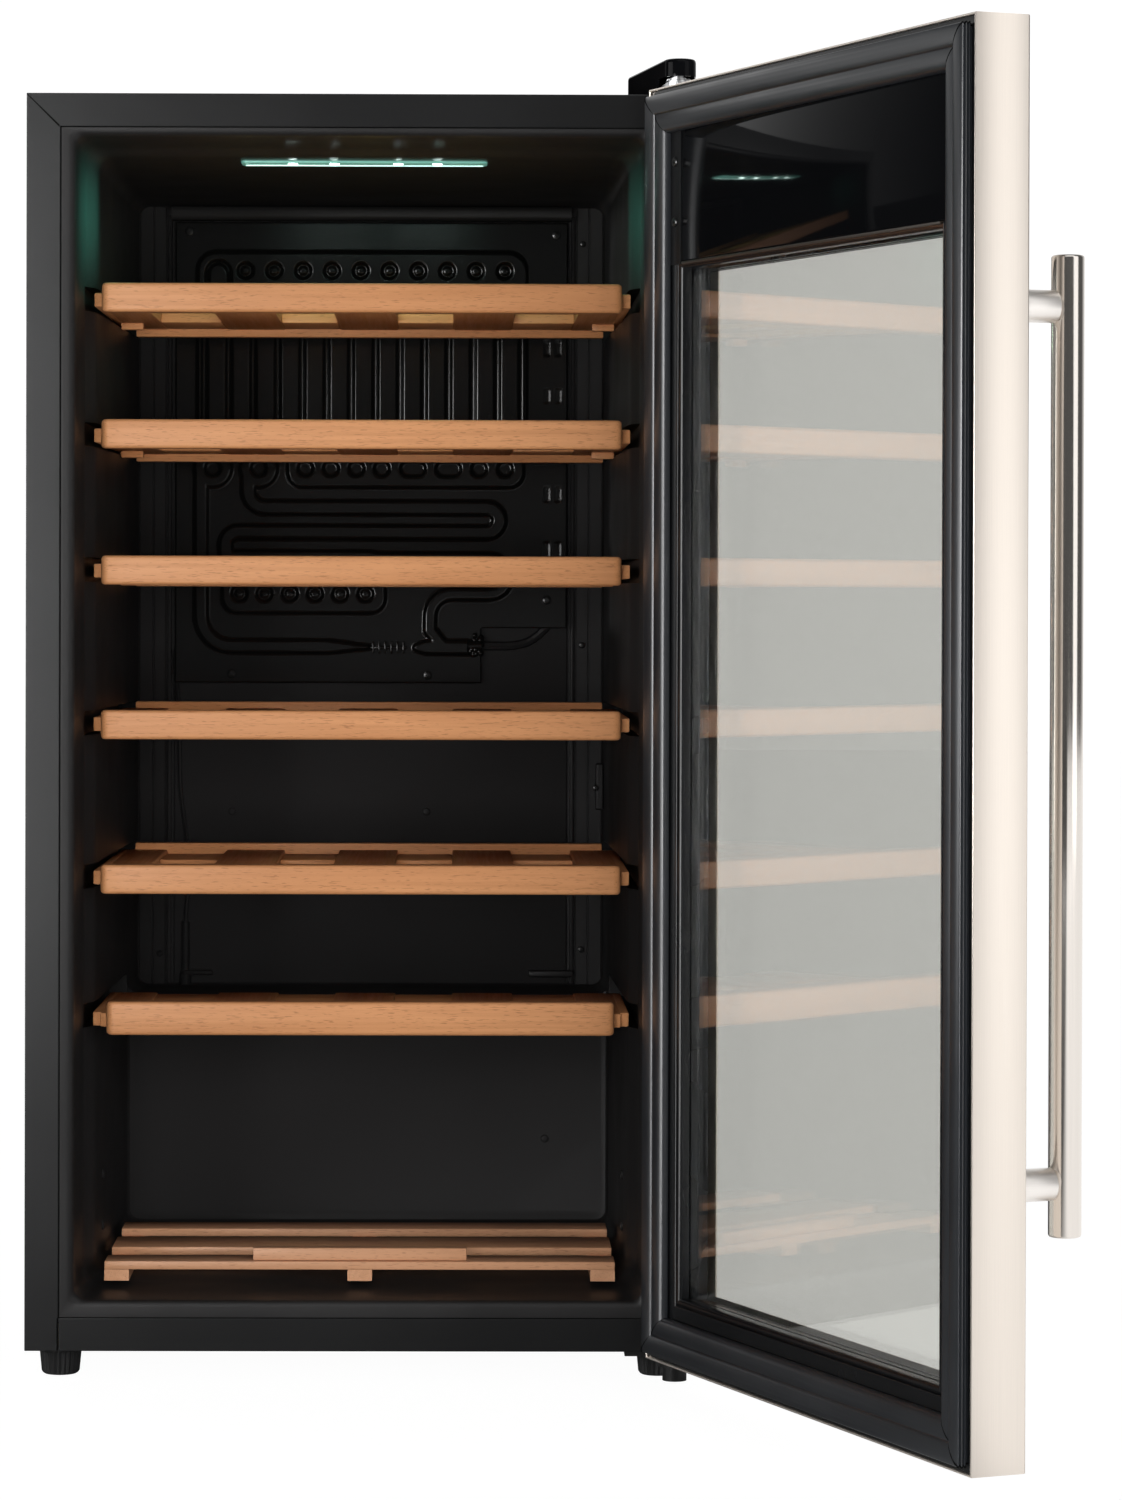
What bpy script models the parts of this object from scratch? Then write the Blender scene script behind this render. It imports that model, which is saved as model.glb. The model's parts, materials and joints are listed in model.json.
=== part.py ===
"""A free-standing wine cooler: an insulated cabinet with six sliding beech shelves, a floor rack,
a roll-bond evaporator, a compressor bay and a framed double-glazed door on two hinge pins.

Lengths are written in millimetres and scaled by MM. X points right, Y back and Z up. The origin is the
centre of the cabinet's flat underside, and the feet reach FOOT_HEIGHT below it. The pieces of the cabinet
and the closed door are drawn with y counted back from the plane of the cabinet's front rails.
"""

import math

import bmesh
import bpy
from mathutils import Vector

MM = 0.001
GAP = 0.3  # clearance between pieces that touch on the real object

# Cabinet
WIDTH = 430.0
DEPTH = 437.0
HEIGHT = 810.0
SHEET = 0.8
FRONT_SHEET = 1.0
RAIL = 21.8  # width of the painted side rails
TOP_RAIL_LOW = 788.6
BASE_RAIL_HIGH = 21.2
BASE_RAIL_RETURN = 13.0
REAR_FLANGE = 12.0
PAN_LOW = 0.5
PAN_TOP = 2.0
PAN_PANEL = (150.0, 68.5, 368.5)  # half width, front and back of the panel pressed down to z = 0
FOOT_HEIGHT = 19.5
FOOT_R = 14.2
FOOT_INSET_X = 20.6
FOOT_INSET_Y = 34.0
STUD_R = 4.0

# Inner liner: (y, half width, floor, ceiling) sections of the cavity, from the mouth to the back
LINER = 1.2
CAVITY = [
    (-2.0, 187.5, 28.5, 786.8),
    (1.6, 186.5, 29.5, 785.8),
    (5.0, 183.5, 32.5, 782.8),
    (60.0, 182.6, 35.0, 781.0),
    (84.0, 176.0, 38.0, 777.0),
    (388.0, 169.5, 42.7, 770.3),
]
BACK_WALL_Y = 388.0
STEP_Y = 308.0  # front face of the step over the compressor
STEP_Z = 203.5
FOAM_BACK_Y = 415.7
BAY_Y = 333.8
BAY_Z = 172.4
GROOVE_X = 183.4  # outer face of the shelf grooves
GROOVE_Y = (60.0, 383.0)
SHORT_GROOVE_END = 302.0

# Shelves: underside and height of each front board. The last shelf is short, over the compressor step
SHELVES = [(672.0, 19.0), (583.0, 19.0), (494.0, 19.0), (393.0, 19.0), (292.0, 19.0), (199.8, 21.7)]
BOARD_Y = 40.0
BOARD_T = 18.0
BOARD_HALF = 170.0
SHORT_BOARD_HALF = 166.0
SLAT_LOW = 4.6  # underside of the slats above the underside of the board
SLAT_T = 9.2
SLAT_W = 41.5
SLAT_PITCH = 80.5
SIDE_SLAT = (143.5, 177.5)
CROSS_BOARD_Y = (195.0, 270.0)
REAR_RAIL_Y = (278.0, 290.0)
SHORT_SLAT_END = 174.0
SHORT_CROSS_Y = (110.0, 172.0)
LUG_Y = (198.0, 206.0)
LUG_X = (156.0, 171.5)

# Floor rack
RACK_SLATS = [(45.0, 72.8), (110.6, 160.0), (199.6, 232.0)]
RACK_HALF = 167.0
RACK_RUNNERS = [-159.0, 0.0, 159.0]
RACK_RUNNER_W = 16.0
RACK_SLAT_Z = (46.0, 51.5)

# Evaporator and its fittings on the back wall
EVAPORATOR_HALF = 142.0
EVAPORATOR_Z = (424.0, 758.0)
EVAPORATOR_Y = (375.5, 377.0)
CORNER_CUT = (80.6, 464.0)
PLATE_SCREWS = [(-132.0, 751.0), (134.0, 749.0), (-101.0, 430.5), (41.3, 429.5), (127.7, 484.5)]
TRIM_X = (149.0, 168.8)

# Door, drawn closed and turned about its hinge pins
DOOR_ANGLE = 112.4
DOOR_GAP = 8.0
DOOR_T = 35.0
DOOR_Z = (-1.0, 811.0)
PIVOT_X = 202.9
PIVOT_Y = -23.0
BUSH_R = 6.5
RUNNING = 0.15  # radial clearance of the hinge pins
FRAME_W = 44.0
STEEL = 1.2
WINDOW_TOP = 694.0
BOX_Z = (699.0, 783.0)  # cover of the control box
GASKET_H = 6.5
GLASS_T = 4.0
GLASS_EDGE = 9.0  # glass hidden behind the frame
HANDLE_R = 9.5
HANDLE_INSET = 30.0
HANDLE_OFF = 41.4
HANDLE_Z = (125.0, 680.6)
HANDLE_POSTS = (155.3, 651.2)

HALF = WIDTH / 2
INSIDE = HALF - SHEET - GAP  # half width of what sits inside the casing
DOOR_BACK = -DOOR_GAP
DOOR_FRONT = -DOOR_GAP - DOOR_T

COLOURS = {
    "shell_paint": ((0.045, 0.046, 0.048), 0.45, 0.0),
    "liner_plastic": ((0.030, 0.030, 0.032), 0.50, 0.0),
    "foam": ((0.80, 0.72, 0.50), 0.90, 0.0),
    "zinc_steel": ((0.62, 0.63, 0.64), 0.40, 1.0),
    "evaporator_coat": ((0.050, 0.050, 0.050), 0.40, 0.3),
    "beech": ((0.64, 0.37, 0.20), 0.50, 0.0),
    "door_steel": ((0.80, 0.76, 0.72), 0.30, 1.0),
    "door_plastic": ((0.020, 0.020, 0.022), 0.35, 0.0),
    "gasket_rubber": ((0.045, 0.047, 0.052), 0.55, 0.0),
    "door_glass": ((0.75, 0.78, 0.76), 0.03, 0.0),
    "panel_gloss": ((0.010, 0.010, 0.011), 0.06, 0.0),
    "black_rubber": ((0.025, 0.025, 0.025), 0.70, 0.0),
    "lamp_plastic": ((0.60, 0.92, 0.85), 0.20, 0.0),
    "circuit_board": ((0.05, 0.22, 0.10), 0.50, 0.0),
    "copper": ((0.72, 0.38, 0.22), 0.35, 1.0),
    "black_enamel": ((0.012, 0.012, 0.012), 0.35, 0.0),
}


# ---------------------------------------------------------------- shapes
def block(low, high):
    """A box between two corners."""
    shape = bmesh.new()
    bmesh.ops.create_cube(shape, size=1.0)
    for vert in shape.verts:
        vert.co = [high[i] if vert.co[i] > 0 else low[i] for i in range(3)]
    return shape


def prism(outline, low, high, axis="z"):
    """A closed outline extruded along an axis. Its pairs are the other two axes, in x, y, z order."""
    point = {
        "x": lambda a, b, t: (t, a, b),
        "y": lambda a, b, t: (a, t, b),
        "z": lambda a, b, t: (a, b, t),
    }[axis]
    shape = bmesh.new()
    face = shape.faces.new([shape.verts.new(point(a, b, low)) for a, b in outline])
    grown = bmesh.ops.extrude_face_region(shape, geom=[face])["geom"]
    moved = [item for item in grown if isinstance(item, bmesh.types.BMVert)]
    bmesh.ops.translate(shape, vec=point(0.0, 0.0, high - low), verts=moved)
    return shape


def arc(centre, radius, start, end, steps):
    """Points along an arc, from one angle in degrees to another."""
    angles = [math.radians(start + (end - start) * i / steps) for i in range(steps + 1)]
    return [(centre[0] + radius * math.cos(a), centre[1] + radius * math.sin(a)) for a in angles]


def rod(centre, radius, low, high, axis="z", segments=24):
    """A straight round bar along an axis."""
    return prism(arc(centre, radius, 0, 360, segments)[:-1], low, high, axis)


def loft(rings):
    """A closed solid through rings of equal length, with flat ends."""
    shape = bmesh.new()
    verts = [[shape.verts.new(point) for point in ring] for ring in rings]
    count = len(rings[0])
    for near, far in zip(verts, verts[1:]):
        for i in range(count):
            j = (i + 1) % count
            shape.faces.new((near[i], near[j], far[j], far[i]))
    shape.faces.new(verts[0][::-1])
    shape.faces.new(verts[-1])
    return shape


def turned(profile, centre, segments=24, stretch=1.0):
    """A solid of revolution about a vertical axis, from (radius, z) pairs, widened along x by stretch."""
    rings = []
    for radius, z in profile:
        circle = arc((0.0, 0.0), radius, 0, 360, segments)[:-1]
        rings.append([(centre[0] + x * stretch, centre[1] + y, z) for x, y in circle])
    return loft(rings)


def cavity_at(y):
    """The half width, floor and ceiling of the cavity at a depth."""
    for near, far in zip(CAVITY, CAVITY[1:]):
        if y <= far[0]:
            share = (y - near[0]) / (far[0] - near[0])
            return [a + (b - a) * share for a, b in zip(near[1:], far[1:])]
    return list(CAVITY[-1][1:])


def cavity(by=0.0):
    """The room inside the liner, grown on every side: the front part, and the part above the step."""

    def ring(y, shift, low=None):
        half, floor, ceiling = cavity_at(y)
        half, ceiling = half + by, ceiling + by
        floor = (floor if low is None else low) - by
        corners = [(-half, floor), (half, floor), (half, ceiling), (-half, ceiling)]
        return [(x, y + shift, z) for x, z in corners]

    depths = [section[0] for section in CAVITY if section[0] < STEP_Y]
    front = [ring(y, 0.0) for y in depths] + [ring(STEP_Y, by)]
    return [loft(front), loft([ring(290.0, 0.0, STEP_Z), ring(BACK_WALL_Y, by, STEP_Z)])]


def groove(index, side, by=0.0):
    """The room for one shelf runner in a side wall."""
    low = SHELVES[index][0] + SLAT_LOW - 2.4
    end = SHORT_GROOVE_END if index == 5 else GROOVE_Y[1]
    x = sorted((side * 150.0, side * (GROOVE_X + by)))
    return block((x[0], GROOVE_Y[0] - by, low - by), (x[1], end + by, low + SLAT_T + 6.8 + by))


# ---------------------------------------------------------------- objects
def clear_scene():
    for obj in list(bpy.data.objects):
        bpy.data.objects.remove(obj, do_unlink=True)


def material(name):
    found = bpy.data.materials.get(name)
    if found:
        return found
    colour, roughness, metallic = COLOURS[name]
    made = bpy.data.materials.new(name)
    made.use_nodes = True
    shader = made.node_tree.nodes["Principled BSDF"]
    shader.inputs["Base Color"].default_value = (*colour, 1.0)
    shader.inputs["Roughness"].default_value = roughness
    shader.inputs["Metallic"].default_value = metallic
    return made


def empty(name, location, parent=None, turn=0.0):
    made = bpy.data.objects.new(name, None)
    made.location = Vector(location) * MM
    made.rotation_euler.z = math.radians(turn)
    made.parent = parent
    bpy.context.scene.collection.objects.link(made)
    return made


def placed(name, shape, parent):
    """Turns a shape in millimetres into an object in metres, where its parent says."""
    bmesh.ops.recalc_face_normals(shape, faces=shape.faces)
    bmesh.ops.scale(shape, vec=(MM, MM, MM), verts=shape.verts)
    mesh = bpy.data.meshes.new(name)
    shape.to_mesh(mesh)
    shape.free()
    obj = bpy.data.objects.new(name, mesh)
    obj.parent = parent
    bpy.context.scene.collection.objects.link(obj)
    return obj


def solid(name, shape, colour, parent, add=(), cut=(), bevel=0.0, segments=2):
    """One sub-part: a shape, with others united to it and then others cut from it."""
    obj = placed(name, shape, parent)
    obj.data.materials.append(material(colour))
    for operation, others in (("UNION", add), ("DIFFERENCE", cut)):
        for number, other in enumerate(others, 1):
            tool = placed(f"{name}.{operation.lower()}{number}", other, parent)
            tool.hide_render = True
            tool.display_type = "WIRE"
            step = obj.modifiers.new(f"{operation.lower()}{number}", "BOOLEAN")
            step.operation = operation
            step.object = tool
    if bevel:
        edge = obj.modifiers.new("rounded_edges", "BEVEL")
        edge.width = bevel * MM
        edge.segments = segments
        edge.limit_method = "ANGLE"
    obj.data.shade_smooth()
    obj.data.set_sharp_from_angle(angle=math.radians(35))
    return obj


def smooth_route(points, step):
    """Points at about the given step along a Catmull-Rom curve through the route's own points."""
    points = [Vector(point) for point in points]
    ends = [2 * points[0] - points[1], *points, 2 * points[-1] - points[-2]]
    route = []
    for a, b, c, d in zip(ends, ends[1:], ends[2:], ends[3:]):
        count = max(1, round((c - b).length / step))
        for i in range(count):
            t = i / count
            bend = (2 * a - 5 * b + 4 * c - d) * t**2 + (3 * b - a - 3 * c + d) * t**3
            route.append(b + ((c - a) * t + bend) / 2)
    return route + [points[-1]]


def tube(name, route, radius, colour, parent):
    """A round tube or lead along a route."""
    curve = bpy.data.curves.new(name, "CURVE")
    curve.dimensions = "3D"
    curve.bevel_depth = radius * MM
    curve.bevel_resolution = 2
    curve.use_fill_caps = True
    line = curve.splines.new("POLY")
    line.points.add(len(route) - 1)
    for point, where in zip(line.points, route):
        point.co = (*(Vector(where) * MM), 1.0)
    curve.materials.append(material(colour))
    obj = bpy.data.objects.new(name, curve)
    obj.parent = parent
    bpy.context.scene.collection.objects.link(obj)
    return obj


# ---------------------------------------------------------------- cabinet
def foot_places():
    x = HALF - FOOT_INSET_X
    return {
        "front_left": (-x, FOOT_INSET_Y),
        "front_right": (x, FOOT_INSET_Y),
        "rear_left": (-x, DEPTH - FOOT_INSET_Y),
        "rear_right": (x, DEPTH - FOOT_INSET_Y),
    }


def casing(cabinet):
    """The painted wrap of sides and top, the rail below the mouth, the base pan and the back panel."""
    seam = HALF - RAIL
    solid(
        "outer_casing",
        block((-HALF, 0, 0), (HALF, DEPTH, HEIGHT)),
        "shell_paint",
        cabinet,
        cut=[
            block((SHEET - HALF, FRONT_SHEET, -5), (HALF - SHEET, DEPTH - FRONT_SHEET, HEIGHT - SHEET)),
            block((-seam, -5, -5), (seam, 5, TOP_RAIL_LOW)),
            block((REAR_FLANGE - HALF, DEPTH - 5, -5), (HALF - REAR_FLANGE, DEPTH + 5, HEIGHT - REAR_FLANGE)),
        ],
    )
    high = BASE_RAIL_HIGH
    profile = [
        (0, 0),
        (FRONT_SHEET, 0),
        (FRONT_SHEET, high - 1),
        (BASE_RAIL_RETURN, high - 1),
        (BASE_RAIL_RETURN, high),
        (0, high),
    ]
    solid("base_front_rail", prism(profile, GAP - seam, seam - GAP, "x"), "shell_paint", cabinet)
    pan_front, pan_back = FRONT_SHEET + GAP, DEPTH - FRONT_SHEET - GAP
    half, near, far = PAN_PANEL
    solid(
        "base_pan",
        block((-INSIDE, pan_front, PAN_LOW), (INSIDE, pan_back, PAN_TOP)),
        "zinc_steel",
        cabinet,
        add=[block((-half, near, 0), (half, far, PAN_TOP - 0.4))],
        cut=[rod(centre, STUD_R + 0.6, -5, 5) for centre in foot_places().values()],
    )
    panel_y = FOAM_BACK_Y + GAP
    panel_low = BAY_Z + GAP
    solid(
        "back_panel",
        block((-INSIDE, panel_y, panel_low), (INSIDE, panel_y + SHEET, HEIGHT - SHEET - GAP)),
        "zinc_steel",
        cabinet,
    )


def insulation(cabinet):
    """The liner and the foam between it and the casing."""
    seam = HALF - RAIL - GAP
    flange = block((-seam, GAP, BASE_RAIL_HIGH + GAP), (seam, 1.5, TOP_RAIL_LOW - GAP))
    sides = [(index, side) for index in range(len(SHELVES)) for side in (-1, 1)]
    solid(
        "inner_liner",
        flange,
        "liner_plastic",
        cabinet,
        add=cut_front(cavity(LINER)) + [groove(index, side, LINER) for index, side in sides],
        cut=cavity() + [groove(index, side) for index, side in sides],
    )
    by = LINER + GAP
    studs = [foot_places()["front_left"], foot_places()["front_right"]]
    solid(
        "insulation_foam",
        block((-INSIDE, FRONT_SHEET + GAP, PAN_TOP + GAP), (INSIDE, FOAM_BACK_Y, HEIGHT - SHEET - GAP)),
        "foam",
        cabinet,
        cut=cavity(by)
        + [groove(index, side, by) for index, side in sides]
        + [
            block((-seam - 2 * GAP, -5, 5), (seam + 2 * GAP, 1.5 + GAP, TOP_RAIL_LOW + GAP)),
            block((-seam - 2 * GAP, -5, -5), (seam + 2 * GAP, BASE_RAIL_RETURN + 1, BASE_RAIL_HIGH + GAP)),
            block((-HALF, BAY_Y, -5), (HALF, DEPTH, BAY_Z)),
        ]
        + [rod(centre, STUD_R + 1.2, -5, 12.5) for centre in studs],
    )


def cut_front(shapes):
    """Moves the mouth end of the grown cavity back, flush with the front of the liner's flange."""
    front = shapes[0]
    for vert in front.verts:
        if vert.co.y < 0.0:
            vert.co.y = GAP
    return shapes


def feet(cabinet):
    """Four ribbed levelling feet, each with its stud."""
    for name, (x, y) in foot_places().items():
        foot = empty(f"foot_{name}_axis", (x, y, 0.0), cabinet)
        low = -FOOT_HEIGHT
        profile = [
            (FOOT_R - 2.6, low),
            (FOOT_R - 1.6, low + 1.2),
            (FOOT_R - 0.6, -4.6),
            (FOOT_R, -4.2),
            (FOOT_R, -GAP),
            (STUD_R, -GAP),
            (STUD_R, 11.0),
        ]
        solid(f"foot_{name}", turned(profile, (0, 0)), "black_rubber", foot)


def evaporator(cabinet):
    """The roll-bond plate on its spacers, the bar above it, the corner trims and what is fixed there."""
    low, high = EVAPORATOR_Z
    half = EVAPORATOR_HALF
    corner_x, corner_z = CORNER_CUT
    plate = [(-half, low), (corner_x, low), (corner_x, corner_z), (half, corner_z), (half, high), (-half, high)]
    wall = BACK_WALL_Y - GAP
    solid(
        "evaporator_plate",
        prism(plate, *EVAPORATOR_Y, "y"),
        "evaporator_coat",
        cabinet,
        add=[rod(centre, 3.5, EVAPORATOR_Y[0] - 1.2, wall, "y", 12) for centre in PLATE_SCREWS],
    )
    solid(
        "evaporator_top_trim",
        block((-145, 372, 759.5), (145, wall, 769.6)),
        "liner_plastic",
        cabinet,
        bevel=1.5,
    )
    for name, side in (("left", -1), ("right", 1)):
        x = sorted(side * edge for edge in TRIM_X)
        solid(
            f"corner_trim_{name}",
            block((x[0], 383.9, STEP_Z + GAP), (x[1], wall, 770.0)),
            "liner_plastic",
            cabinet,
            bevel=1.6,
        )
    route = [
        (81.2, 378.6, 450.9),
        (91.0, 379.0, 450.9),
        (100.5, 380.0, 450.9),
        (113.0, 382.0, 453.3),
        (122.0, 383.2, 459.0),
        (127.6, 383.8, 464.5),
        (130.5, 384.0, 471.0),
        (131.5, 384.2, 477.0),
    ]
    tube("suction_tube", smooth_route(route, 6.0), 3.1, "black_rubber", cabinet)
    route = [
        (-141.0, 382.8, 452.0),
        (-143.0, 383.0, 440.6),
        (-142.2, 383.2, 430.4),
        (-139.8, 383.4, 410.0),
        (-139.0, 383.6, 375.0),
        (-138.2, 383.8, 345.9),
        (-133.6, 384.0, 308.1),
        (-132.6, 383.6, 280.0),
        (-134.0, 383.0, 258.0),
        (-134.4, 383.0, 248.0),
        (-134.4, 383.0, 230.0),
        (-134.4, 383.0, 206.0),
    ]
    tube("sensor_lead", smooth_route(route, 8.0), 1.5, "black_rubber", cabinet)
    gland = [(4.4, STEP_Z + GAP), (4.4, 211.0), (2.9, 214.0), (2.9, 250.0)]
    centre = (-134.4, 383.0)
    solid(
        "lead_gland",
        turned(gland, centre, 16),
        "black_rubber",
        cabinet,
        cut=[rod(centre, 1.9, 190, 260, segments=16)],
    )
    solid(
        "thermostat_sensor",
        block((163.6, 374.0, 332.0), (169.4, 383.5, 365.6)),
        "liner_plastic",
        cabinet,
        bevel=1.2,
    )


def lamp(cabinet):
    """The lamp under the ceiling: a shallow lens with the board of four diodes in it."""
    solid(
        "lamp_lens",
        block((-82, 90, 771.2), (82, 130, 775.6)),
        "lamp_plastic",
        cabinet,
        cut=[block((-80.5, 91.5, 772.3), (80.5, 128.5, 780))],
    )
    board = block((-79, 95, 774.6), (79, 125, 775.6))
    diodes = [block((x - 2.5, 105, 773.0), (x + 2.5, 110, 775.0)) for x in (-48, -20, 22.6, 49)]
    solid("lamp_board", board, "circuit_board", cabinet, add=diodes)


def machine_bay(cabinet):
    """What stands in the bay behind the step, and the condenser on the back."""
    centre = (70.0, 386.0)
    profile = [(38, 12), (44, 17), (44.5, 62), (46.5, 64), (46.5, 68), (44.5, 70), (43, 112), (35, 130), (16, 138)]
    base = block((centre[0] - 72, 343, 7.5), (centre[0] + 72, 431, 10.5))
    pads = [
        rod((centre[0] + x, 387 + y), 8.5, PAN_TOP + GAP, 8.5, segments=12) for x in (-60, 60) for y in (-33, 33)
    ]
    saddle = rod(centre, 30, 9.5, 14.0)
    stub = rod(centre, 5, 135, 148.7, segments=12)
    solid(
        "compressor",
        turned(profile, centre, 24, 1.42),
        "black_enamel",
        cabinet,
        add=[saddle, base, stub, *pads],
    )
    tray_low = PAN_TOP + GAP
    solid(
        "drain_tray",
        block((-108, 342, tray_low), (-22, 428, 26)),
        "door_plastic",
        cabinet,
        cut=[block((-106, 344, tray_low + 2), (-24, 426, 40))],
    )
    solid(
        "power_inlet",
        block((172, 416, tray_low), (200, 435.4, 38)),
        "door_plastic",
        cabinet,
        cut=[block((177, 425, 12), (195, 440, 32))],
        bevel=1.5,
    )
    coil_y = 427.4
    route = [(*centre, 149.2), (*centre, 153.2), (74, 391, 160), (92, 408, 164)]
    route += [(120, 422, 170), (150, coil_y, 180), (172, coil_y, 190)]
    runs, pitch, reach, low = 13, 42.0, 168.0, 212.0
    bend = pitch / 2
    route = smooth_route(route, 14.0) + [(reach + bend, coil_y, low - bend)]
    for run in range(runs):
        side = 1 if run % 2 == 0 else -1
        z = low + run * pitch
        route += [(side * (reach + dx), coil_y, z + dz) for dx, dz in arc((0, -bend), bend, 45, 90, 2)]
        route += [(-side * reach, coil_y, z)]
        if run < runs - 1:
            turn = arc((0, bend), bend, -60, 0, 2)
            route += [(-side * (reach + dx), coil_y, z + dz) for dx, dz in turn]
    top = low + (runs - 1) * pitch
    route += [(-reach - 20, coil_y, top - 5), (-reach - 27, coil_y, top - 24), (-reach - 27, coil_y, 500)]
    route += [(-reach - 27, coil_y, 200), (-reach - 24, coil_y, 172), (-170, coil_y, 160), (-120, coil_y, 156)]
    route += [(-26, coil_y, 155), (-9, 425, 152), (-6, 421, 146), (-6, 420, 136.3)]
    tube("condenser_coil", route, 2.4, "black_enamel", cabinet)
    drier = [(3.4, 30), (3.4, 40), (9, 50), (9, 118), (3.4, 128), (3.4, 136)]
    solid("filter_drier", turned(drier, (-6, 420), 16), "copper", cabinet)


def hinges(cabinet):
    """The upper bracket with its pin and cover, and the lower bracket with its pin."""
    pivot = (PIVOT_X, PIVOT_Y)
    arm_low = DOOR_Z[1] + 1.3
    top = HEIGHT + GAP
    arm = prism(arm_outline(pivot, 7.0, 191.0, 211.6, 12.0), arm_low, arm_low + 3)
    plate = prism([(191, 5), (211.6, 5), (211.6, 70), (179, 70)], top, top + 3)
    holes = [(199, 20), (187, 58), (204, 58)]
    solid(
        "hinge_upper_bracket",
        plate,
        "zinc_steel",
        cabinet,
        add=[arm],
        cut=[rod(centre, 2.6, 800, 830, segments=12) for centre in holes],
    )
    nose = (204.0, -22.5)
    solid(
        "hinge_upper_cover",
        prism(cover_outline(nose, 10.4, 0.0), top, 830.0),
        "panel_gloss",
        cabinet,
        cut=[
            prism(cover_outline(nose, 10.4, 1.5), 800.0, 828.3),
            block((150, -60, 800), (230, 1, DOOR_Z[1] + 0.5)),
        ],
        bevel=1.2,
    )
    pin_r = STUD_R
    solid(
        "hinge_upper_pin",
        rod(pivot, pin_r, 799.5, arm_low - GAP, segments=48),
        "zinc_steel",
        cabinet,
    )
    low = DOOR_Z[0] - 4.3
    plate = block((172, 3, -3.3), (213, 17, -GAP))
    solid(
        "hinge_lower_bracket",
        plate,
        "zinc_steel",
        cabinet,
        add=[
            block((192, -12, low), (213, 16, low + 3.2)),
            prism(arm_outline(pivot, 10.0, 192.9, 212.9, 10.0), low, low + 3),
        ],
        cut=[rod(pivot, pin_r + GAP, -20, 20, segments=48)],
    )
    pin = [(7.75, -14), (7.75, low - GAP), (pin_r, low - GAP), (pin_r, 11)]
    solid("hinge_lower_pin", turned(pin, pivot, 48), "zinc_steel", cabinet)


def arm_outline(pivot, radius, left, right, back):
    """A hinge arm: straight sides ending in a round nose about the pivot."""
    nose = arc(pivot, radius, 180, 360, 10)
    return nose + [(right, -10.0), (right, back), (left, back)]


def cover_outline(nose, radius, inset):
    """The hinge cover's outline: a round nose over the pin, widening to the rear."""
    points = arc(nose, radius - inset, 195, 360, 12)
    points += [(214.4 - inset, -12.0), (214.4 - inset, 77.0 - inset), (174.0 + inset, 77.0 - inset)]
    return points


# ---------------------------------------------------------------- shelves
def slats(start, end, low):
    """Five boards running from front to back, the outer two as wide as the grooves need."""
    middle = [(x - SLAT_W / 2, x + SLAT_W / 2) for x in (-SLAT_PITCH, 0.0, SLAT_PITCH)]
    edges = [(-SIDE_SLAT[1], -SIDE_SLAT[0]), *middle, SIDE_SLAT]
    return [block((a, start, low), (b, end, low + SLAT_T)) for a, b in edges]


def shelf(cabinet, index):
    """A sliding shelf, drawn from the front face and the underside of its front board."""
    low, height = SHELVES[index]
    short = index == len(SHELVES) - 1
    slide = empty(f"shelf_{index + 1}_slide", (0.0, BOARD_Y, low), cabinet)
    half = SHORT_BOARD_HALF if short else BOARD_HALF
    solid(
        f"shelf_{index + 1}_front",
        block((-half, 0, 0), (half, BOARD_T, height)),
        "beech",
        slide,
        bevel=4.0,
        segments=3,
    )
    start = BOARD_T + GAP
    if short:
        boards = slats(start, SHORT_SLAT_END, SLAT_LOW - 0.8)
        cross = block((-172, SHORT_CROSS_Y[0], 6), (172, SHORT_CROSS_Y[1], 12))
        more = []
    else:
        boards = slats(start, REAR_RAIL_Y[0] + 2, SLAT_LOW)
        cross = block((-150, CROSS_BOARD_Y[0], SLAT_LOW + 0.2), (150, CROSS_BOARD_Y[1], 11.3))
        more = [block((-166.5, REAR_RAIL_Y[0], -0.5), (166.5, REAR_RAIL_Y[1], 18.4))]
        for side in (-1, 1):
            x = sorted(side * edge for edge in LUG_X)
            more.append(block((x[0], LUG_Y[0], -0.2), (x[1], LUG_Y[1], SLAT_LOW + 1)))
    solid(f"shelf_{index + 1}_frame", cross, "beech", slide, add=boards + more)


def floor_rack(cabinet):
    """The loose rack on the cavity's floor: three runners under three slats, and a stop block."""
    low, high = RACK_SLAT_Z
    front, back = RACK_SLATS[0][0], RACK_SLATS[-1][1]
    floor = cavity_at(back)[1] + GAP
    profile = [(front, 38.6), (84, 38.6), (back, floor + 0.2), (back, low + 1), (front, low + 1)]
    runners = [prism(profile, x - RACK_RUNNER_W / 2, x + RACK_RUNNER_W / 2, "x") for x in RACK_RUNNERS]
    boards = [block((-RACK_HALF, a, low), (RACK_HALF, b, high)) for a, b in RACK_SLATS]
    solid("floor_rack", boards[0], "beech", cabinet, add=boards[1:] + runners)
    solid("floor_rack_stop", block((-70, 47, high + GAP), (70, 57, 60)), "beech", cabinet, bevel=1.5)


# ---------------------------------------------------------------- door
def door_ring(outer, inner, y, top=None):
    """A rectangular ring, from one distance inside the door's edges to another."""
    low, high = DOOR_Z
    body = block((outer - HALF, y[0], low + outer), (HALF - outer, y[1], high - outer))
    hole_top = high - inner if top is None else top
    hole = block((inner - HALF, y[0] - 9, low + inner), (HALF - inner, y[1] + 9, hole_top))
    return body, hole


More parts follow.
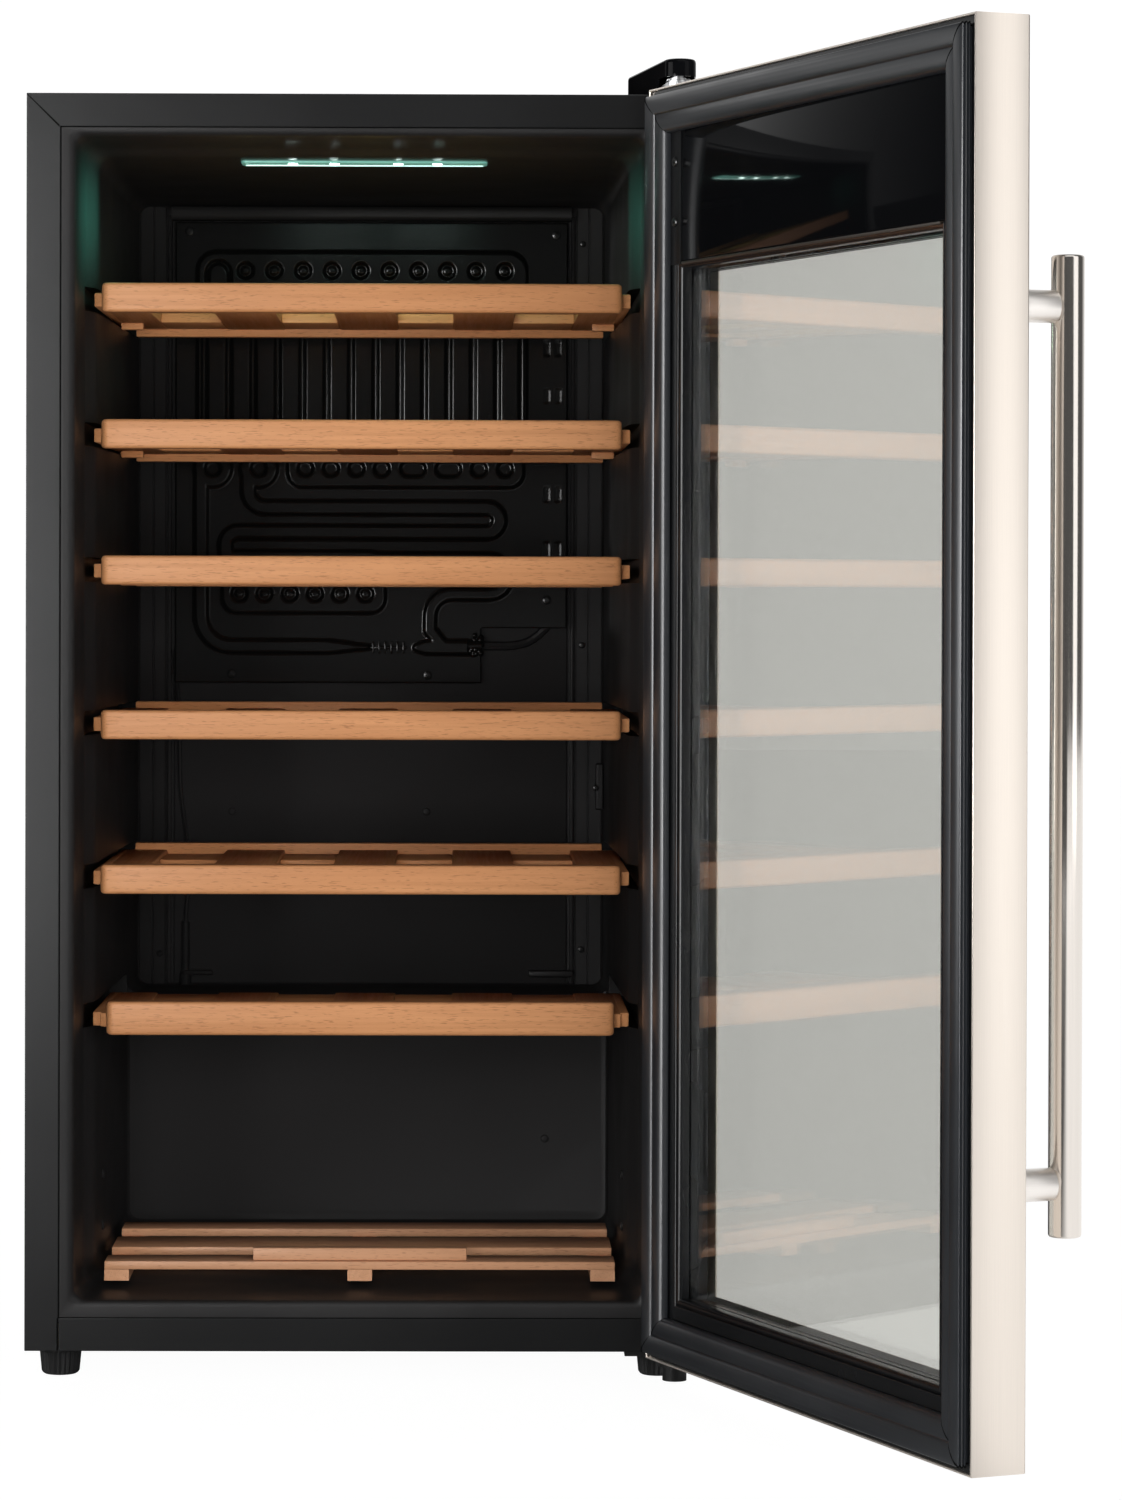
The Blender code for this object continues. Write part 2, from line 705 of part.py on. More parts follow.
def door_frame(door):
    """The steel shell, the plastic inner frame and the gasket round it."""
    low, high = DOOR_Z
    pivot = (PIVOT_X, PIVOT_Y)
    rim = 4.5
    ends = [rod(pivot, BUSH_R + GAP, low - 5, 14), rod(pivot, BUSH_R + GAP, 796, high + 5)]
    body, window = door_ring(0.0, FRAME_W, (DOOR_FRONT, DOOR_BACK), WINDOW_TOP)
    hollow = block((STEEL - HALF, DOOR_FRONT + STEEL, low + STEEL), (HALF - STEEL, DOOR_BACK - STEEL, high - STEEL))
    mouth = block((rim - HALF, DOOR_BACK - 10, low + rim), (HALF - rim, 0, high - rim))
    solid("door_frame", body, "door_steel", door, cut=[hollow, window, mouth, *ends])

    face = DOOR_BACK - 2
    body, window = door_ring(STEEL + GAP, FRAME_W, (face - 8, face), WINDOW_TOP)
    box = block((FRAME_W - HALF, -60, BOX_Z[0] - GAP), (HALF - FRAME_W, 0, BOX_Z[1] + GAP))
    ends = [rod(pivot, BUSH_R + GAP, low - 5, 14), rod(pivot, BUSH_R + GAP, 796, high + 5)]
    solid("door_inner_frame", body, "door_plastic", door, cut=[window, box, *ends])

    foot = face + GAP
    outer, hole = door_ring(5.0, 17.5, (foot, DOOR_BACK + GASKET_H))
    inner, inner_hole = door_ring(16.5, 30.0, (foot, DOOR_BACK + 5.0))
    hole.free()
    outer_hole = block((17.5 - HALF, DOOR_BACK + 5.0, low + 17.5), (HALF - 17.5, 9, high - 17.5))
    solid("door_gasket", outer, "gasket_rubber", door, add=[inner], cut=[outer_hole, inner_hole])


def door_glass(door):
    """Two panes on a spacer, and the seal between the outer pane and the steel flange."""
    edge = FRAME_W - GLASS_EDGE
    low = DOOR_Z[0] + edge
    high = WINDOW_TOP + 2.5
    half = HALF - edge
    y = DOOR_BACK - 10.3
    layers = []
    for thickness in (GLASS_T, 12.0, GLASS_T):
        layers.append((y - thickness, y))
        y -= thickness + GAP
    solid("glass_inner", block((-half, layers[0][0], low), (half, layers[0][1], high)), "door_glass", door, bevel=0.6)
    solid("glass_outer", block((-half, layers[2][0], low), (half, layers[2][1], high)), "door_glass", door, bevel=0.6)
    inner = edge + 7.0
    hole = block((inner - HALF, -60, DOOR_Z[0] + inner), (HALF - inner, 0, high - 4.0))
    spacer = block((0.6 - half, layers[1][0], low + 0.6), (half - 0.6, layers[1][1], high - 0.6))
    solid("glass_spacer", spacer, "zinc_steel", door, cut=[hole])
    hole = block((inner - HALF, -60, DOOR_Z[0] + inner), (HALF - inner, 0, high - 4.0))
    seal = block((-half, DOOR_FRONT + STEEL + GAP, low), (half, layers[2][0] - GAP, high))
    solid("glass_seal", seal, "black_rubber", door, cut=[hole])


def control_box(door):
    """The cover, side strip, circuit board and front window of the controls above the glass."""
    low, high = BOX_Z
    half = HALF - FRAME_W - GAP
    face = DOOR_BACK - 2
    solid("control_cover", block((-half, face - 2.5, low), (half, face, high)), "panel_gloss", door, bevel=0.8)
    strip = block((HALF - FRAME_W + 0.4, face + GAP, 700.5), (HALF - 30.4, face + 1.2, 780.5))
    screws = [rod((178.0, z), 3.4, face + 0.6, face + 2.2, "y", 12) for z in (724, 762)]
    solid("control_cover_strip", strip, "door_steel", door, add=screws)
    inside = DOOR_FRONT + STEEL
    pegs = [rod((x, z), 3.0, inside + GAP, inside + 4, "y", 12) for x in (-60, 60) for z in (722, 764)]
    chips = [block((-30, inside + 4, 732), (30, inside + 9, 754)), block((44, inside + 4, 728), (66, inside + 14, 750))]
    solid(
        "control_board",
        block((-72, inside + 3, 714), (72, inside + 4.6, 772)),
        "circuit_board",
        door,
        add=pegs + chips,
    )
    solid(
        "control_window",
        block((-60, DOOR_FRONT - 1.4, 724), (60, DOOR_FRONT - GAP, 760)),
        "panel_gloss",
        door,
        bevel=0.6,
    )


def handle(door):
    """A round bar on two posts, on the free side of the door's front."""
    x, y = HANDLE_INSET - HALF, DOOR_FRONT - HANDLE_OFF
    solid("handle_bar", rod((x, y), HANDLE_R, *HANDLE_Z, segments=32), "door_steel", door, bevel=0.8)
    for name, z in zip(("lower", "upper"), HANDLE_POSTS):
        solid(
            f"handle_post_{name}",
            rod((x, z), 9.6, y, DOOR_FRONT - GAP, "y", 32),
            "door_steel",
            door,
            cut=[rod((x, y), HANDLE_R + GAP, z - 20, z + 20, segments=32)],
        )


def door_bushes(door):
    """The bushes that turn on the hinge pins."""
    pivot = (PIVOT_X, PIVOT_Y)
    for name, low, high in (("lower", DOOR_Z[0] - 0.6, 13.0), ("upper", 797.0, DOOR_Z[1])):
        solid(
            f"door_bush_{name}",
            rod(pivot, BUSH_R, low, high, segments=48),
            "lamp_plastic",
            door,
            cut=[rod(pivot, STUD_R + RUNNING, low - 5, high + 5, segments=48)],
        )


def main():
    clear_scene()
    cabinet = empty("cabinet", (0.0, -DEPTH / 2, 0.0))
    casing(cabinet)
    insulation(cabinet)
    feet(cabinet)
    evaporator(cabinet)
    lamp(cabinet)
    machine_bay(cabinet)
    hinges(cabinet)
    for index in range(len(SHELVES)):
        shelf(cabinet, index)
    floor_rack(cabinet)
    pivot = empty("door_pivot", (PIVOT_X, PIVOT_Y, 0.0), cabinet, DOOR_ANGLE)
    door = empty("door_closed_frame", (-PIVOT_X, -PIVOT_Y, 0.0), pivot)
    door_frame(door)
    door_glass(door)
    control_box(door)
    handle(door)
    door_bushes(door)


main()
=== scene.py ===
"""The looks of the wine cooler: camera, soft studio light, and a finished mesh and material for every
piece that shows. Drawings are in millimetres: x to the right, y back from the plane of the cabinet's
front rails, z up from the cabinet's underside. The door is drawn closed and turned onto its open place.
"""

import json
import math
import random

import bmesh
import bpy
import numpy as np
from mathutils import Matrix, Vector


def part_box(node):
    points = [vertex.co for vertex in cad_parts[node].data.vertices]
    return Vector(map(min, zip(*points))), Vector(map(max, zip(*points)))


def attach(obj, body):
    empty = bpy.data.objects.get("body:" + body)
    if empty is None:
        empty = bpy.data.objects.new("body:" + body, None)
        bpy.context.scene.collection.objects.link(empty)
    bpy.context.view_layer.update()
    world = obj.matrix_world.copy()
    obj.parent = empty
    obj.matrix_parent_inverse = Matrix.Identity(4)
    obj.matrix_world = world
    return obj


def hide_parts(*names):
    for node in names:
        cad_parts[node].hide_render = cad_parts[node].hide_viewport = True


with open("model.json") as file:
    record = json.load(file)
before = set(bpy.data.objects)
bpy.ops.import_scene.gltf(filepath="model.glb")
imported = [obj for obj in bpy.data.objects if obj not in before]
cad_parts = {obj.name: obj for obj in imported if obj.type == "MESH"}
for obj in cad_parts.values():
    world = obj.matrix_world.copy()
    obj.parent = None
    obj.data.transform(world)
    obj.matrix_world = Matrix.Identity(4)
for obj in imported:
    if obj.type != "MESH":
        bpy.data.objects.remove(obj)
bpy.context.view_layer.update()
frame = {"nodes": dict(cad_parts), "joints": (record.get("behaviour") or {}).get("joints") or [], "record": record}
MM = 0.001

# The cabinet's front plane, and the door's hinge, from the frame
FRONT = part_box("outer_casing")[0].y
FLOOR_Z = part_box("foot_front_left")[0].z
hinge = next(joint for joint in frame["joints"] if joint["name"] == "door_hinge")
PIVOT = Vector((hinge["pos_m"][0], hinge["pos_m"][1], 0.0))
OPEN_ANGLE = math.radians(-hinge["range_deg"][0])
CABINET = Matrix.Translation((0.0, FRONT, 0.0)) @ Matrix.Scale(MM, 4)
DOOR = Matrix.Translation(PIVOT) @ Matrix.Rotation(OPEN_ANGLE, 4, "Z") @ Matrix.Translation(-PIVOT) @ CABINET

scene = bpy.context.scene


# ---------------------------------------------------------------- camera, light and floor
def make_camera():
    """Straight on and level, far enough off that the lens is long, with the frame shifted to the door."""
    data = bpy.data.cameras.new("camera")
    data.sensor_width = 36.0
    data.lens = 109.29
    data.shift_x = 0.0486
    data.shift_y = -0.0818
    camera = bpy.data.objects.new("camera", data)
    scene.collection.objects.link(camera)
    yaw, pitch, roll = math.radians(-0.401), math.radians(90 - 0.377), math.radians(0.150)
    turn = Matrix.Rotation(yaw, 4, "Z") @ Matrix.Rotation(pitch, 4, "X") @ Matrix.Rotation(roll, 4, "Z")
    camera.matrix_world = Matrix.Translation((0.06211, FRONT - 2.93218, 0.48628)) @ turn
    scene.camera = camera


def area_light(name, place, target, size, power, colour=(1.0, 1.0, 1.0)):
    data = bpy.data.lights.new(name, "AREA")
    data.shape = "RECTANGLE"
    data.size, data.size_y = size
    data.energy = power
    data.color = colour
    lamp = bpy.data.objects.new(name, data)
    scene.collection.objects.link(lamp)
    lamp.location = place
    lamp.rotation_euler = (Vector(target) - Vector(place)).to_track_quat("-Z", "Y").to_euler()
    return lamp


def make_world():
    """A white room that is brighter behind the object than in front of it."""
    world = bpy.data.worlds.new("studio")
    scene.world = world
    world.use_nodes = True
    nodes, links = world.node_tree.nodes, world.node_tree.links
    background = nodes["Background"]
    background.inputs["Color"].default_value = (1.0, 1.0, 1.0, 1.0)
    where, split = nodes.new("ShaderNodeTexCoord"), nodes.new("ShaderNodeSeparateXYZ")
    links.new(where.outputs["Generated"], split.inputs[0])
    strength = ramp_of(nodes, links, split.outputs["Y"], 0.30, 0.93, 0.09, 1.06)
    links.new(strength, background.inputs["Strength"])


def make_floor():
    """A floor that is white to the camera and through glass, and dark on the left for other rays."""
    reach = 12.0
    corners = [(reach * x, reach * y, FLOOR_Z) for x, y in ((-1, -1), (1, -1), (1, 1), (-1, 1))]
    mesh = bpy.data.meshes.new("floor")
    mesh.from_pydata(corners, [], [(0, 1, 2, 3)])
    floor = bpy.data.objects.new("floor", mesh)
    scene.collection.objects.link(floor)
    shade, shader, nodes, links = principled("floor", (0.12, 0.12, 0.12), 0.9, specular=0.1)
    shader.inputs["Emission Color"].default_value = (1.0, 1.0, 1.0, 1.0)
    path, where, split = (nodes.new(f"ShaderNode{kind}") for kind in ("LightPath", "TexCoord", "SeparateXYZ"))
    links.new(where.outputs["Object"], split.inputs[0])
    side = ramp_of(nodes, links, split.outputs["X"], 0.25, 0.46, 0.03, 1.0)
    lit, bounced, glow = (nodes.new(f"ShaderNode{kind}") for kind in ("Math", "Math", "MapRange"))
    lit.operation = "MAXIMUM"
    links.new(path.outputs["Is Diffuse Ray"], lit.inputs[0])
    links.new(path.outputs["Is Glossy Ray"], lit.inputs[1])
    bounced.operation = "SUBTRACT"
    bounced.use_clamp = True
    links.new(lit.outputs[0], bounced.inputs[0])
    links.new(path.outputs["Is Transmission Ray"], bounced.inputs[1])
    glow.inputs["To Min"].default_value = 0.96
    links.new(side, glow.inputs["To Max"])
    links.new(bounced.outputs[0], glow.inputs["Value"])
    links.new(glow.outputs["Result"], shader.inputs["Emission Strength"])
    mesh.materials.append(shade)


def make_lights():
    """Soft lights that light, soft reflectors that only gloss sees, and the cabinet's own lamp."""
    key = area_light("key", (-0.75, -1.3, 0.54), (-0.15, 0.0, 0.45), (0.5, 0.95), 22.0)
    key.visible_diffuse = False
    for name, place, target, size, power in (
        ("front", (-0.15, -2.5, 0.42), (0.0, 0.0, 0.42), (0.6, 0.7), 24.3),
        ("fill", (1.45, -2.75, 0.60), (0.0, 0.0, 0.4), (0.7, 1.0), 25.0),
    ):
        area_light(name, place, target, size, power).visible_glossy = False
    for name, place, size, power in (
        ("right", (2.5, -2.15, 1.35), (1.6, 3.2), 18.8),
        ("left", (-2.7, -1.1, 0.7), (2.0, 2.2), 62.0),
        ("top", (0.6, -2.0, 2.7), (2.4, 1.4), 13.0),
    ):
        area_light(name, place, (0.4, -0.4, 0.4), size, power).visible_diffuse = False

    pale_green, teal = (0.62, 1.0, 0.66), (0.16, 1.0, 0.72)
    shift = Vector((0.0, FRONT, 0.0))
    for name, place, target, size, power, colour, spread in (
        ("glow_down", (0.0, 0.11, 0.766), (0.0, 0.15, 0.4), (0.15, 0.02), 0.17, pale_green, 180),
        ("glow_left", (-0.125, 0.07, 0.745), (-0.2, 0.05, 0.725), (0.05, 0.05), 0.045, teal, 80),
        ("glow_right", (0.125, 0.07, 0.745), (0.2, 0.05, 0.725), (0.05, 0.05), 0.030, teal, 80),
    ):
        glow = area_light(name, Vector(place) + shift, Vector(target) + shift, size, power, colour)
        glow.data.spread = math.radians(spread)
        glow.visible_camera = False
        glow.visible_glossy = False


# ---------------------------------------------------------------- materials
def principled(name, colour, roughness, metallic=0.0, specular=0.5):
    """A material with its shader, ready for more nodes."""
    made = bpy.data.materials.new(name)
    made.use_nodes = True
    shader = made.node_tree.nodes["Principled BSDF"]
    shader.inputs["Base Color"].default_value = (*colour, 1.0)
    shader.inputs["Roughness"].default_value = roughness
    shader.inputs["Metallic"].default_value = metallic
    shader.inputs["Specular IOR Level"].default_value = specular
    return made, shader, made.node_tree.nodes, made.node_tree.links


def scaled_noise(nodes, links, scale, detail=2.0, roughness=0.5, offset=0.0, angle=0.0):
    """Noise in the object's own coordinates, which can be turned about the vertical, with its own scale
    along each axis (cycles per metre)."""
    source = nodes.new("ShaderNodeTexCoord").outputs["Object"]
    if angle:
        rotated = nodes.new("ShaderNodeMapping")
        rotated.inputs["Rotation"].default_value = (0.0, 0.0, -angle)
        links.new(source, rotated.inputs["Vector"])
        source = rotated.outputs[0]
    mapping = nodes.new("ShaderNodeMapping")
    mapping.inputs["Scale"].default_value = scale
    mapping.inputs["Location"].default_value = (offset, offset, offset)
    noise = nodes.new("ShaderNodeTexNoise")
    noise.inputs["Scale"].default_value = 1.0
    noise.inputs["Detail"].default_value = detail
    noise.inputs["Roughness"].default_value = roughness
    links.new(source, mapping.inputs["Vector"])
    links.new(mapping.outputs[0], noise.inputs["Vector"])
    return noise


def ramp_of(nodes, links, source, low, high, to_low=0.0, to_high=1.0):
    ramp = nodes.new("ShaderNodeMapRange")
    ramp.inputs["From Min"].default_value = low
    ramp.inputs["From Max"].default_value = high
    ramp.inputs["To Min"].default_value = to_low
    ramp.inputs["To Max"].default_value = to_high
    links.new(source, ramp.inputs["Value"])
    return ramp.outputs["Result"]


def mixed(nodes, links, share, first, second):
    """Two colours, or a colour output and a colour, mixed by a share."""
    mix = nodes.new("ShaderNodeMix")
    mix.data_type = "RGBA"
    links.new(share, mix.inputs["Factor"])
    for value, socket in ((first, mix.inputs["A"]), (second, mix.inputs["B"])):
        if isinstance(value, tuple):
            socket.default_value = (*value, 1.0)
        else:
            links.new(value, socket)
    return mix.outputs["Result"]


def bumped(nodes, links, shader, height, distance):
    bump = nodes.new("ShaderNodeBump")
    bump.inputs["Strength"].default_value = 1.0
    bump.inputs["Distance"].default_value = distance
    links.new(height, bump.inputs["Height"])
    links.new(bump.outputs[0], shader.inputs["Normal"])


def grained(name, colour, roughness, scale, depth, specular=0.5, spread=0.06, metallic=0.0):
    """A moulded or painted surface with a fine all-over grain and slightly uneven gloss."""
    made, shader, nodes, links = principled(name, colour, roughness, metallic, specular)
    fine = scaled_noise(nodes, links, (scale,) * 3, 3.0, 0.6)
    bumped(nodes, links, shader, fine.outputs["Fac"], depth)
    broad = scaled_noise(nodes, links, (9.0,) * 3, 3.0, 0.55, 3.7)
    low, high = roughness - spread, roughness + spread
    links.new(ramp_of(nodes, links, broad.outputs["Fac"], 0.3, 0.7, low, high), shader.inputs["Roughness"])
    light = tuple(channel * 1.12 for channel in colour)
    tint = ramp_of(nodes, links, broad.outputs["Fac"], 0.35, 0.75)
    links.new(mixed(nodes, links, tint, colour, light), shader.inputs["Base Color"])
    return made


def beech(name, along, pale):
    """Steamed beech: pale growth bands, short dark pores along the grain, and a sanded satin surface."""

    def tone(red, green, blue):
        return (red, green * (1 + pale), blue * (1 + 3.3 * pale))

    made, shader, nodes, links = principled(name, (0.62, 0.32, 0.15), 0.50, specular=0.24)

    def scale(across, length):
        return tuple(length if axis == along else across for axis in "xyz")

    bands = scaled_noise(nodes, links, scale(48.0, 3.2), 4.0, 0.55)
    share = ramp_of(nodes, links, bands.outputs["Fac"], 0.30, 0.72)
    wood = mixed(nodes, links, share, tone(0.60, 0.262, 0.106), tone(0.75, 0.355, 0.158))
    streaks = scaled_noise(nodes, links, scale(420.0, 9.0), 3.0, 0.6, 1.3)
    share = ramp_of(nodes, links, streaks.outputs["Fac"], 0.42, 0.75, 0.0, 0.45)
    wood = mixed(nodes, links, share, wood, tone(0.52, 0.210, 0.078))
    pores = scaled_noise(nodes, links, scale(1500.0, 150.0), 1.5, 0.5, 5.1)
    share = ramp_of(nodes, links, pores.outputs["Fac"], 0.60, 0.70, 0.0, 0.62)
    wood = mixed(nodes, links, share, wood, tone(0.36, 0.135, 0.048))
    links.new(wood, shader.inputs["Base Color"])
    links.new(ramp_of(nodes, links, streaks.outputs["Fac"], 0.3, 0.7, 0.38, 0.54), shader.inputs["Roughness"])
    bumped(nodes, links, shader, pores.outputs["Fac"], 0.00006)
    return made


def brushed(name, colour, roughness, along, depth, angle):
    """Steel brushed in one direction, which can be turned about the vertical with the door."""
    across, length = 2600.0, 14.0
    made, shader, nodes, links = principled(name, colour, roughness, 1.0)
    scale = tuple(length if axis == along else across for axis in "xyz")
    noise = scaled_noise(nodes, links, scale, angle=angle)
    bumped(nodes, links, shader, noise.outputs["Fac"], depth)
    low, high = roughness - 0.03, roughness + 0.04
    links.new(ramp_of(nodes, links, noise.outputs["Fac"], 0.3, 0.7, low, high), shader.inputs["Roughness"])
    light = tuple(min(1.0, channel * 1.02) for channel in colour)
    dark = tuple(channel * 0.975 for channel in colour)
    share = ramp_of(nodes, links, noise.outputs["Fac"], 0.35, 0.65)
    links.new(mixed(nodes, links, share, dark, light), shader.inputs["Base Color"])
    return made


def glowing(name, colour, strength, mirrored):
    """A lit lens, which looks stronger by some factor when it is mirrored in gloss."""
    made, shader, nodes, links = principled(name, colour, 0.3)
    shader.inputs["Emission Color"].default_value = (*colour, 1.0)
    path = nodes.new("ShaderNodeLightPath")
    level = ramp_of(nodes, links, path.outputs["Is Glossy Ray"], 0.0, 1.0, strength, strength * mirrored)
    links.new(level, shader.inputs["Emission Strength"])
    return made


def clear_glass(name, tint):
    made, shader, _, _ = principled(name, tint, 0.0)
    shader.inputs["Transmission Weight"].default_value = 1.0
    shader.inputs["IOR"].default_value = 1.5
    return made


# Moulded, painted and plated finishes: colour, roughness, grain (cycles per metre, depth in metres),
# and where they aren't the usual ones, specular level, spread of the roughness, and metal
FINISHES = {
    "shell_paint": ((0.0072, 0.0073, 0.0076), 0.31, 1500.0, 0.00006, 0.36, 0.015),
    "liner_plastic": ((0.0144, 0.0138, 0.0139), 0.44, 2200.0, 0.00003, 0.23),
    # The same moulded liner plastic painted lighter, with less sheen, than at the lip: painted light on the
    # cavity's deep walls
    "liner_cavity_painted_light": ((0.0182, 0.0175, 0.0176), 0.42, 2200.0, 0.00003, 0.13),
    "foam": ((0.80, 0.70, 0.45), 0.90, 500.0, 0.0004),
    "zinc_steel": ((0.62, 0.63, 0.64), 0.38, 700.0, 0.00004, 0.5, 0.06, 1.0),
    "evaporator_coat": ((0.0038, 0.0038, 0.0037), 0.20, 900.0, 0.00001, 0.44, 0.02),
    "door_plastic": ((0.0058, 0.0062, 0.0070), 0.24, 1800.0, 0.000004, 0.36),
    "strip_black": ((0.0060, 0.0063, 0.0070), 0.42, 1800.0, 0.000004, 0.14),
    "trim_beige": ((0.045, 0.035, 0.026), 0.40, 900.0, 0.00003),
    "spacer_black": ((0.010, 0.012, 0.016), 0.26, 600.0, 0.000003),
    "gasket_rubber": ((0.0190, 0.0212, 0.0250), 0.34, 1600.0, 0.000003, 0.66),
    "panel_gloss": ((0.0050, 0.0053, 0.0062), 0.06, 300.0, 0.000002, 0.05, 0.015),
    # A dull copy of the cap's gloss black with no reflection, for its left faces: painted shade
    "cap_side_painted_shade": ((0.012, 0.012, 0.013), 0.40, 600.0, 0.000004, 0.0),
    "black_rubber": ((0.0105, 0.0105, 0.0107), 0.44, 1400.0, 0.00005),
    "black_enamel": ((0.010, 0.010, 0.010), 0.28, 300.0, 0.00005),
    "circuit_board": ((0.03, 0.16, 0.07), 0.45, 600.0, 0.00005),
    "copper": ((0.72, 0.38, 0.22), 0.33, 500.0, 0.00004, 0.5, 0.06, 1.0),
}
MATERIALS = {name: grained(name, *finish) for name, finish in FINISHES.items()}
for name, along, pale in (
    ("beech_x", "x", 0.0), ("beech_y", "y", 0.0), ("beech_rack", "x", 0.16), ("beech_runner", "y", 0.16),
):
    MATERIALS[name] = beech(name, along, pale)
for name, colour, roughness, along, depth, angle in (
    ("door_steel", (0.84, 0.765, 0.690), 0.37, "z", 0.000003, OPEN_ANGLE),
    ("handle_steel", (0.78, 0.73, 0.68), 0.14, "z", 0.000002, 0.0),
    ("post_steel", (0.93, 0.89, 0.85), 0.46, "y", 0.000005, OPEN_ANGLE),
):
    MATERIALS[name] = brushed(name, colour, roughness, along, depth, angle)
for name, colour, strength, mirrored in (
    ("lamp_plastic", (0.16, 0.42, 0.35), 0.34, 10.0),
    ("lamp_rim", (0.62, 0.98, 0.88), 0.9, 8.0),
    ("diode", (0.80, 1.0, 0.94), 8.0, 6.0),
):
    MATERIALS[name] = glowing(name, colour, strength, mirrored)
MATERIALS["door_glass"] = clear_glass("door_glass", (0.80, 0.80, 0.775))
MATERIALS["joint_black"] = principled("joint_black", (0.001, 0.001, 0.001), 0.8, specular=0.05)[0]
SLOT_MATERIALS = {"beech": "beech_x"}


# ---------------------------------------------------------------- carried-over nodes
def dress_cad_nodes():
    """Every node starts with its slot's finish."""
    for part in frame["record"]["subparts"]:
        node = frame["nodes"][part["node"]]
        slot = part["material_slot"]
        node.data.materials.clear()
        node.data.materials.append(MATERIALS[SLOT_MATERIALS.get(slot, slot)])


def soften(name, width):
    """Rounds a carried-over node's sharp edges with modifiers, which leave its own mesh alone."""
    node = frame["nodes"][name]
    weld = node.modifiers.new("weld", "WELD")
    weld.merge_threshold = 0.00002
    bevel = node.modifiers.new("edges", "BEVEL")
    bevel.width = width * MM
    bevel.segments = 2
    bevel.limit_method = "ANGLE"
    bevel.angle_limit = math.radians(30)
    bevel.harden_normals = False


# ---------------------------------------------------------------- mesh tools
def block(low, high):
    shape = bmesh.new()
    bmesh.ops.create_cube(shape, size=1.0)
    for vert in shape.verts:
        vert.co = [high[i] if vert.co[i] > 0 else low[i] for i in range(3)]
    return shape


def rounded_block(low, high, radius, segments=3, edges=None):
    """A box with its edges rounded, or only those that the edges function picks by their direction."""
    shape = block(low, high)
    chosen = [e for e in shape.edges if edges is None or edges((e.verts[1].co - e.verts[0].co).normalized())]
    bmesh.ops.bevel(shape, geom=chosen, offset=radius, segments=segments, profile=0.5, affect="EDGES")
    return shape


def loft(rings, closed=False):
    """Skins rings of equal length. A closed loft joins its last ring to its first, an open one has ends."""
    shape = bmesh.new()
    verts = [[shape.verts.new(point) for point in ring] for ring in rings]
    pairs = list(zip(verts, verts[1:])) + ([(verts[-1], verts[0])] if closed else [])
    count = len(rings[0])
    for near, far in pairs:
        for i in range(count):
            j = (i + 1) % count
            shape.faces.new((near[i], near[j], far[j], far[i]))
    if not closed:
        shape.faces.new(verts[0][::-1])
        shape.faces.new(verts[-1])
    bmesh.ops.recalc_face_normals(shape, faces=shape.faces)
    return shape


def arc(centre, radius, start, end, steps):
    angles = [math.radians(start + (end - start) * i / steps) for i in range(steps + 1)]
    return [(centre[0] + radius * math.cos(a), centre[1] + radius * math.sin(a)) for a in angles]


def placed(axis, along, first, second):
    """A point from its place along one axis, and its other two coordinates in x, y, z order."""
    return {"x": (along, first, second), "y": (first, along, second), "z": (first, second, along)}[axis]


def turned(profile, centre=(0.0, 0.0), segments=40, axis="z"):
    """A solid of revolution from (radius, distance along the axis) pairs, with flat ends."""
    circle = arc((0.0, 0.0), 1.0, 0, 360, segments)[:-1]
    return loft([
        [placed(axis, along, centre[0] + a * radius, centre[1] + b * radius) for a, b in circle]
        for radius, along in profile
    ])


def prism(outline, low, high, axis="z"):
    """A closed outline extruded along an axis. Its pairs are the other two axes, in x, y, z order."""
    return loft([[placed(axis, along, a, b) for a, b in outline] for along in (low, high)])


def merged(shapes, indices=None):
    """Several shapes as one. Each one's faces take its material index, which is 0 where none are given."""
    whole = bmesh.new()
    for shape, index in zip(shapes, indices or [0] * len(shapes)):
        for face in shape.faces:
            face.material_index = index
        part = bpy.data.meshes.new("part")
        shape.to_mesh(part)
        shape.free()
        whole.from_mesh(part)
        bpy.data.meshes.remove(part)
    return whole


def piece(name, shape, body, slot, replaces=(), materials=None, sharp=35.0):
    """Finishes a shape drawn in millimetres as a piece that rides on a body. Its material is its slot's
    where no others are given, and edges over the sharp angle are crisp."""
    shape.transform(DOOR if body == "door" else CABINET)
    mesh = bpy.data.meshes.new(name)
    shape.to_mesh(mesh)
    shape.free()
    obj = bpy.data.objects.new(name, mesh)
    scene.collection.objects.link(obj)
    for material in materials or [slot]:
        mesh.materials.append(MATERIALS[material])
    mesh.shade_smooth()
    mesh.set_sharp_from_angle(angle=math.radians(sharp))
    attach(obj, body)
    if replaces:
        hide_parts(*replaces)
    return obj


def box_mm(node):
    """A cabinet node's box in drawing coordinates, in millimetres."""
    low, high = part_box(node)
    shift = Vector((0.0, FRONT, 0.0))
    return (low - shift) / MM, (high - shift) / MM


def boolean(shape, cutters, operation="DIFFERENCE"):
    """Applies cutters to a shape at once, in millimetres, and returns the result."""

    def as_object(source, name):
        mesh = bpy.data.meshes.new(name)
        source.to_mesh(mesh)
        source.free()
        obj = bpy.data.objects.new(name, mesh)
        scene.collection.objects.link(obj)
        return obj

    target = as_object(shape, "target")
    tools = [as_object(cutter, "tool") for cutter in cutters]
    for tool in tools:
        step = target.modifiers.new("cut", "BOOLEAN")
        step.operation = operation
        step.object = tool
    bpy.context.view_layer.update()
    result = bmesh.new()
    result.from_object(target, bpy.context.evaluated_depsgraph_get())
    for obj in [target, *tools]:
        mesh = obj.data
        bpy.data.objects.remove(obj)
        bpy.data.meshes.remove(mesh)
    return result


